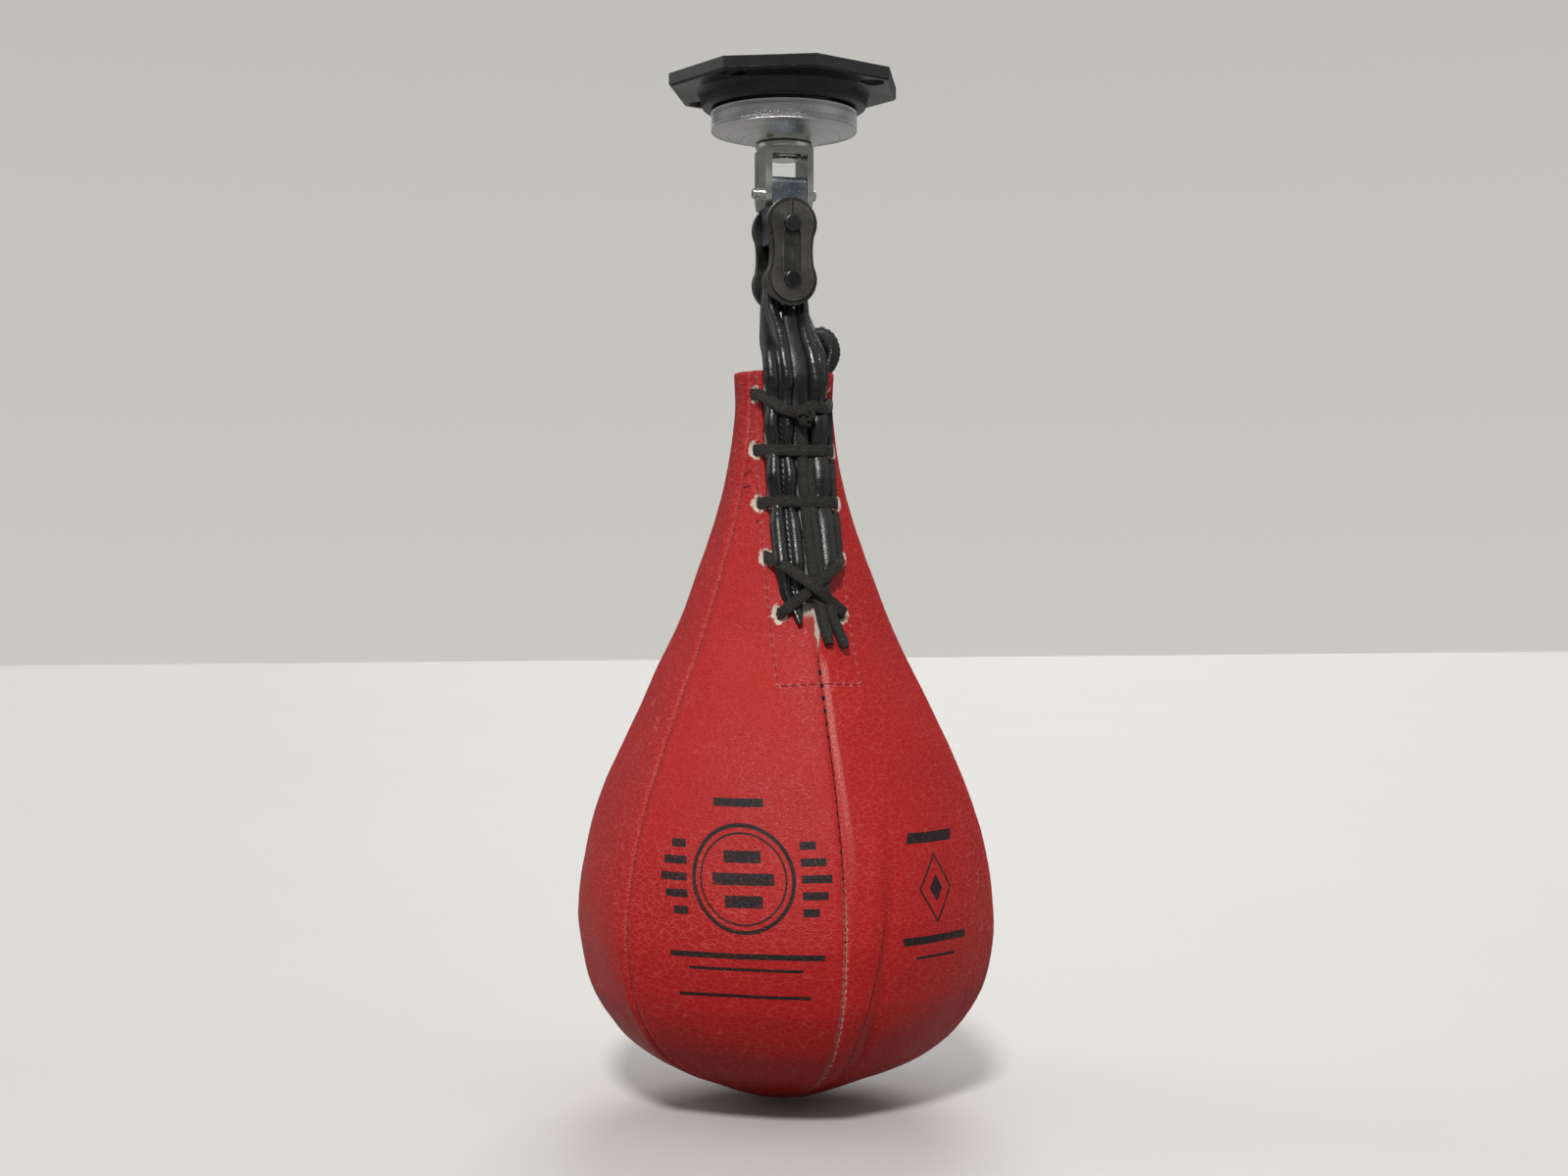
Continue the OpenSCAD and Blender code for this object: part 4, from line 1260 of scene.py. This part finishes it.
def crossing(side, extra):
    """From a hole of row 4 to the opposite hole of row 5; extra lifts it over the other cord."""
    (top, top_x), (bottom, bottom_x) = LACE_ROWS[3:5]
    spots = [(side * top_x, top, -3.0), (side * top_x, top + 0.2, 0.7)]
    for part in np.linspace(0.08, 0.92, 9):
        x = float(side * top_x + (-side * bottom_x - side * top_x) * part)
        down = top + (bottom - top) * part
        hump = math.exp(-((part - 0.52) / 0.20) ** 2)
        high = 3.6 * float(1 - smoothstep(0.55, 1.0, part)) + 0.5 + 1.7 * fullness(down)
        lift = 0.9 + high * max(0, 1 - abs(x / 16.6) ** 5) + extra * hump + 0.9 * hump
        spots.append((x, down, lift))
    return spots + [(-side * bottom_x, bottom, 0.8), (-side * bottom_x, bottom + 0.2, -3.0)]


def knot():
    """One closed turn of cord, knotted like a trefoil."""
    centre = np.array(on_bag(1.6, LACE_ROWS[0][0] + 11.5, 7.4))
    turn = np.linspace(0, TURN, 90, endpoint=False)
    trefoil = np.stack([np.sin(turn) + 2 * np.sin(2 * turn), -0.95 * np.sin(3 * turn),
                        np.cos(turn) - 2 * np.cos(2 * turn)], 1)
    path = trefoil * [1.28, 1.15, 1.20] + centre
    tangent = np.roll(path, -1, axis=0) - np.roll(path, 1, axis=0)
    side = np.cross(tangent, unit_rows(path - centre))
    ob = sweep("lace_knot", path, side, lambda i: oval(4.3, 2.3, 16, 2.6),
               np.arange(len(path)) * 0.6, closed=True)
    dress(ob, "lace")


def lace():
    # row 1 sags from the left hole to the knot and climbs to the right hole: x, sag, lift
    first = LACE_ROWS[0][0]
    first_row = flat_cord("lace_row_1", [(x, first + sag, lift) for x, sag, lift in (
        (-18.2, 0, -3.2), (-18.0, 0, 0.6), (-15.8, 1.2, 3.2), (-12, 4.6, 4.9), (-8, 7.4, 5.6),
        (-4, 8.8, 5.6), (0, 8.2, 6.0), (3.0, 6.6, 6.6), (6, 6.0, 6.3), (10, 6.8, 5.6),
        (14, 6.4, 4.2), (17, 3.2, 1.6), (18.4, 0.4, -3.0))], 5.1, 1.3)
    flat_cord("lace_row_2", straight_row(1, sag=0.6), 5.2, 1.25)
    flat_cord("lace_row_3", straight_row(2, sag=-0.4), 5.1, 1.25)
    flat_cord("lace_cross_under", crossing(1, extra=0.0), 5.0, 1.3)
    flat_cord("lace_cross_over", crossing(-1, extra=1.9), 5.0, 1.3)
    # runs that drop along the right edge from hole to hole
    for i in range(3):
        top, bottom = LACE_ROWS[i][0], LACE_ROWS[i + 1][0]
        flat_cord("lace_edge_%d" % (i + 1), [
            (16.2, top + 4, 0.2), (16.4, top + 9, 0.9), (15.9, (top + bottom) / 2, 1.2),
            (15.9, bottom - 7, 0.9), (15.6, bottom - 1, 0.0)], 4.2, 1.8)
    # two tails down the middle, under the rows
    flat_cord("lace_tail_1", [
        (0.8, 22, 3.8), (0.8, 30, 2.8), (0.6, 48, 2.6), (0.8, 72, 2.6), (1.4, 92, 2.8),
        (2.2, 101, 2.6), (3.4, 110, 2.2), (4.6, 117, 1.9), (5.2, 122.5, 1.8)],
        5.0, 2.0, taper=True)
    flat_cord("lace_tail_2", [
        (3.9, 35.5, 1.5), (4.3, 44, 2.1), (4.2, 54, 2.4), (4.0, 64, 2.6), (4.4, 80, 2.8),
        (5.2, 93, 2.9), (6.6, 103, 2.6), (8.8, 112, 2.0), (11.2, 119, 1.6), (12.8, 124.2, 1.6)],
        4.6, 2.0, taper=True)
    knot()
    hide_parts("lace")


lace()


# ---------------------------------------------------------------------------------------------
# Stitches
# ---------------------------------------------------------------------------------------------
def add_rod(points, faces, start, end, radius):
    """Adds a small six-sided rod with rounded ends."""
    sides = 6
    run = end - start
    length = np.linalg.norm(run)
    run /= length
    side = np.cross(run, [0.3, 0.9, 0.2])
    side /= np.linalg.norm(side)
    up = np.cross(run, side)
    # profile: distance along, radius
    profile = [(-radius * 0.95, radius * 0.25), (-radius * 0.55, radius * 0.8), (0.0, radius),
               (length, radius), (length + radius * 0.55, radius * 0.8),
               (length + radius * 0.95, radius * 0.25)]
    faces += tube_faces(len(profile), sides, len(points))
    for along, ring in profile:
        for k in range(sides):
            angle = TURN * k / sides
            spoke = side * math.cos(angle) + up * math.sin(angle)
            points.append(start + run * along + ring * spoke)


def above_leather(across, down, lift):
    return surface([arc_at(down)], [across / float(radius_at(down))], -lift)[0]


def backing_stitches():
    """Stitches down the left of the slit, across below it and up the right."""
    half, end, dash = BACKING_HALF, BACKING_END, 2.9
    path = [(-half, down) for down in np.arange(17.0, end, 0.5)]
    path += [(x, end) for x in np.arange(-half, half, 0.5)]
    path += [(half, down) for down in np.arange(end, 40.0, -0.5)]
    path = np.array(path)
    lengths = path_lengths(path)
    points, faces = [], []
    start = 0.0
    while start + dash < lengths[-1]:
        spots = [[float(np.interp(start + step, lengths, path[:, k])) for k in (0, 1)]
                 for step in (0.0, dash / 2, dash)]
        across, down = spots[1]
        in_hole = any(abs(abs(across) - hole_x) < 3.0 and abs(down - hole_down) < 3.6
                      for hole_down, hole_x in HOLES)
        if not in_hole:
            first, middle, last = (above_leather(*spot, lift)
                                   for spot, lift in zip(spots, (-0.15, 0.22, -0.15)))
            add_rod(points, faces, first, middle, 0.26)
            add_rod(points, faces, middle, last, 0.26)
        start += BACKING_PITCH
    dress(mesh_object("backing_stitches", points, faces), "thread_red")


def strap_stitches():
    """The stitching in the groove of the hang strap's wide left leg."""
    _, side, front = frames_along(STRAP[:, :3], STRAP_SIDE)
    points, faces = [], []
    start = 14.0
    while start < 108:
        ends = []
        for along, offset in ((start, 0.35), (start + 1.9, -0.35)):
            i = int(np.searchsorted(STRAP_LENGTHS, along))
            height = STRAP[i, 4] / 2 * (1 - STRAP[i, 5]) + 0.12
            facing = 1 if front[i][1] < 0 else -1
            ends.append(STRAP[i, :3] + front[i] * facing * height + side[i] * offset)
        add_rod(points, faces, ends[0], ends[1], 0.24)
        start += 2.7
    dress(mesh_object("strap_stitches", points, faces), "thread_black")


backing_stitches()
strap_stitches()


# ---------------------------------------------------------------------------------------------
# Swivel
# ---------------------------------------------------------------------------------------------
def swivel_cap():
    """A turned cap with a knurled band, a cone below it and a stepped bore."""
    low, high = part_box("swivel_cap")
    top, bottom, band_r = high.z / MM, low.z / MM, high.x / MM
    band_top, band_bottom, cone_r = -14.7, -24.3, 13.5
    around, teeth, knurl_depth = 1200, 200, 0.38
    # profile: radius, z
    profile = [(16.0, top), (27.5, top), (27.95, top - 0.6), (27.95, band_top - 0.02),
               (band_r - 0.75, band_top), (band_r - 0.35, band_top - 0.18)]
    first = len(profile)
    profile += [(band_r, z) for z in np.linspace(band_top - 0.55, band_bottom + 0.55, 46)]
    past = len(profile)
    profile += [(band_r - 0.35, band_bottom + 0.18), (band_r - 0.9, band_bottom)]
    for part in np.linspace(0, 1, 14)[1:-1]:
        profile.append((band_r - 0.9 + (cone_r - band_r + 0.9) * part,
                        band_bottom + (bottom - band_bottom) * part))
    profile += [(cone_r + 0.15, bottom + 0.06), (cone_r - 0.25, bottom), (8.6, bottom),
                (8.6, -24.5), (13.4, -24.5), (13.4, -21.8), (16.0, -21.8), (16.0, -11.8),
                (16.85, -11.8), (16.85, -10.6), (16.0, -10.6)]
    profile = np.array(profile)
    count = len(profile)
    angles = np.linspace(0, TURN, around, endpoint=False)
    radius = np.tile(profile[:, 0], (around, 1))
    pitch = TURN * band_r / teeth
    pitch_z = pitch * 1.25
    across = angles * band_r
    for j in range(first, past):
        z = profile[j, 1]
        one = (across / pitch + z / pitch_z) % 1.0 * 2 - 1
        other = (across / pitch - z / pitch_z) % 1.0 * 2 - 1
        height = 1 - np.maximum(np.abs(one), np.abs(other))
        ease = min(1.0, (j - first + 1) / 3, (past - j) / 3)
        radius[:, j] = band_r - 0.02 - knurl_depth * (1 - height * 1.35).clip(0, 1) * ease
    points = np.stack([radius * np.cos(angles)[:, None], radius * np.sin(angles)[:, None],
                       np.tile(profile[:, 1], (around, 1))], 2).reshape(-1, 3)
    faces = []
    for i in range(around):
        here, beside = i * count, (i + 1) % around * count
        for j in range(count):
            k = (j + 1) % count
            faces.append((here + j, beside + j, beside + k, here + k))
    ob = mesh_object("swivel_cap_turned", points, faces)
    fix_normals(ob)
    ob.data.set_sharp_from_angle(angle=math.radians(38))
    dress(ob, "aluminium", "mount", "swivel_cap")


swivel_cap()

# Rigid parts: node, bevel width, material, slot, body
for node, bevel, material, slot, body in (
        ("base_plate", 0.45, "paint", "black_plate", "mount"),
        ("spindle", 0.25, "zinc", "zinc_steel", "spindle_fork"),
        ("spindle_collar", 0.3, "zinc", "zinc_steel", "spindle_fork"),
        ("fork", 0.5, "zinc", "zinc_steel", "spindle_fork"),
        ("fork_pin", 0.15, "pin", "pin_steel", "spindle_fork"),
        ("cross_block", 0.6, "block", "block_steel", "block"),
        ("link_back_plate", 0.45, "link", "link_steel", "link"),
        ("link_front_plate", 0.45, "link", "link_steel", "link"),
        ("link_pin_upper", 0.2, "link_pin", "link_pin_steel", "link"),
        ("link_pin_lower", 0.2, "link_pin", "link_pin_steel", "link"),
        ("spring_clip", 0.28, "clip", "clip_steel", "link")):
    dress(refined(node, bevel), material, body)

# CAD pieces that only get a material
for node, material in (
        ("bearing_outer_race", "bearing"), ("bearing_balls", "bearing"),
        ("bearing_cage", "bearing"), ("bearing_inner_race", "bearing"),
        ("retaining_ring", "spring"), ("spindle_washer", "zinc"), ("spindle_nut", "zinc"),
        ("bladder_valve", "valve")):
    CAD[node].data.materials.clear()
    CAD[node].data.materials.append(MATERIALS[material])


# ---------------------------------------------------------------------------------------------
# Floor, light and camera
# ---------------------------------------------------------------------------------------------
def floor():
    """A pale floor just under the bag, darker to all but the camera."""
    z, half = CAD_BOX[0].z - 0.0015, 6
    mesh = bpy.data.meshes.new("floor")
    mesh.from_pydata([(-half, -half, z), (half, -half, z), (half, half, z), (-half, half, z)],
                     [], [(0, 1, 2, 3)])
    ob = bpy.data.objects.new("floor", mesh)
    scene.collection.objects.link(ob)
    mat, place = new_material("pale_floor")
    seen = mat.mix((0.565, 0.555, 0.535), (0.59, 0.58, 0.56), mat.noise(place, scale=3.0))
    camera_ray = mat.add("LightPath", output="Is Camera Ray")
    color = mat.mix((0.24, 0.235, 0.23), seen, camera_ray)
    normal = mat.bump(mat.noise(place, scale=240.0), strength=0.05, distance=0.001)
    ob.data.materials.append(mat.surface(color=color, rough=0.6, normal=normal, spec=0.3))


def sky(graph, stops):
    """A background shaded by height. Stops: place from 0 straight down to 1 straight up, color."""
    height = graph.xyz(graph.coord("Generated"))[2]
    level = graph.add("MapRange", {"Value": height, "From Min": -1, "From Max": 1})
    ramp = graph.add("ValToRGB", {0: level})
    elements = ramp.socket.node.color_ramp.elements
    while len(elements) < len(stops):
        elements.new(0.5)
    for element, (place, color) in zip(elements, stops):
        element.position = place
        element.color = (*color, 1.0)
    return graph.add("Background", {0: ramp, 1: 1.0})


def studio_world():
    """The camera sees one sky and the light comes from another."""
    world = bpy.data.worlds.new("studio")
    scene.world = world
    graph = Graph(world)
    seen = sky(graph, [(0.47, (0.60, 0.585, 0.555)), (0.62, (0.535, 0.525, 0.50)),
                       (1.0, (0.50, 0.49, 0.47))])
    lit = sky(graph, [(0.0, (0.15, 0.147, 0.14)), (0.44, (0.11, 0.107, 0.10)),
                      (0.56, (0.07, 0.07, 0.07)), (0.72, (0.34, 0.34, 0.345)),
                      (1.0, (0.62, 0.62, 0.63))])
    camera_ray = graph.add("LightPath", output="Is Camera Ray")
    graph.add("OutputWorld", {0: graph.add("MixShader", {0: camera_ray, 1: lit, 2: seen})})


def direction(azimuth, elevation):
    """A unit vector, azimuth in degrees from the front and positive to the right."""
    azimuth, elevation = math.radians(azimuth), math.radians(elevation)
    return Vector((math.sin(azimuth) * math.cos(elevation),
                   -math.cos(azimuth) * math.cos(elevation), math.sin(elevation)))


def sun(name, azimuth, elevation, power, spread, color=(1, 1, 1)):
    light = bpy.data.lights.new(name, "SUN")
    light.energy = power
    light.angle = math.radians(spread)
    light.color = color
    ob = bpy.data.objects.new(name, light)
    ob.rotation_euler = direction(azimuth, elevation).to_track_quat("Z", "Y").to_euler()
    scene.collection.objects.link(ob)


def camera():
    middle = Vector((0, 0, (CAD_BOX[0].z + CAD_BOX[1].z) / 2))
    data = bpy.data.cameras.new("camera")
    data.lens = 50
    data.sensor_width = 36
    data.clip_start = 0.01
    ob = bpy.data.objects.new("camera", data)
    scene.collection.objects.link(ob)
    distance = 1.0
    ob.location = middle + direction(azimuth=-15.5, elevation=0.0) * distance
    ob.rotation_euler = (middle - ob.location).to_track_quat("-Z", "Y").to_euler()
    scene.camera = ob


floor()
studio_world()
sun("key", azimuth=-22, elevation=43, power=2.55, spread=9, color=(1.0, 0.985, 0.955))
sun("fill", azimuth=60, elevation=18, power=0.26, spread=50, color=(0.95, 0.975, 1.0))
sun("rim", azimuth=158, elevation=38, power=1.0, spread=30)
sun("side", azimuth=-118, elevation=25, power=0.36, spread=40)
camera()
scene.view_settings.view_transform = "Standard"
scene.view_settings.look = "None"
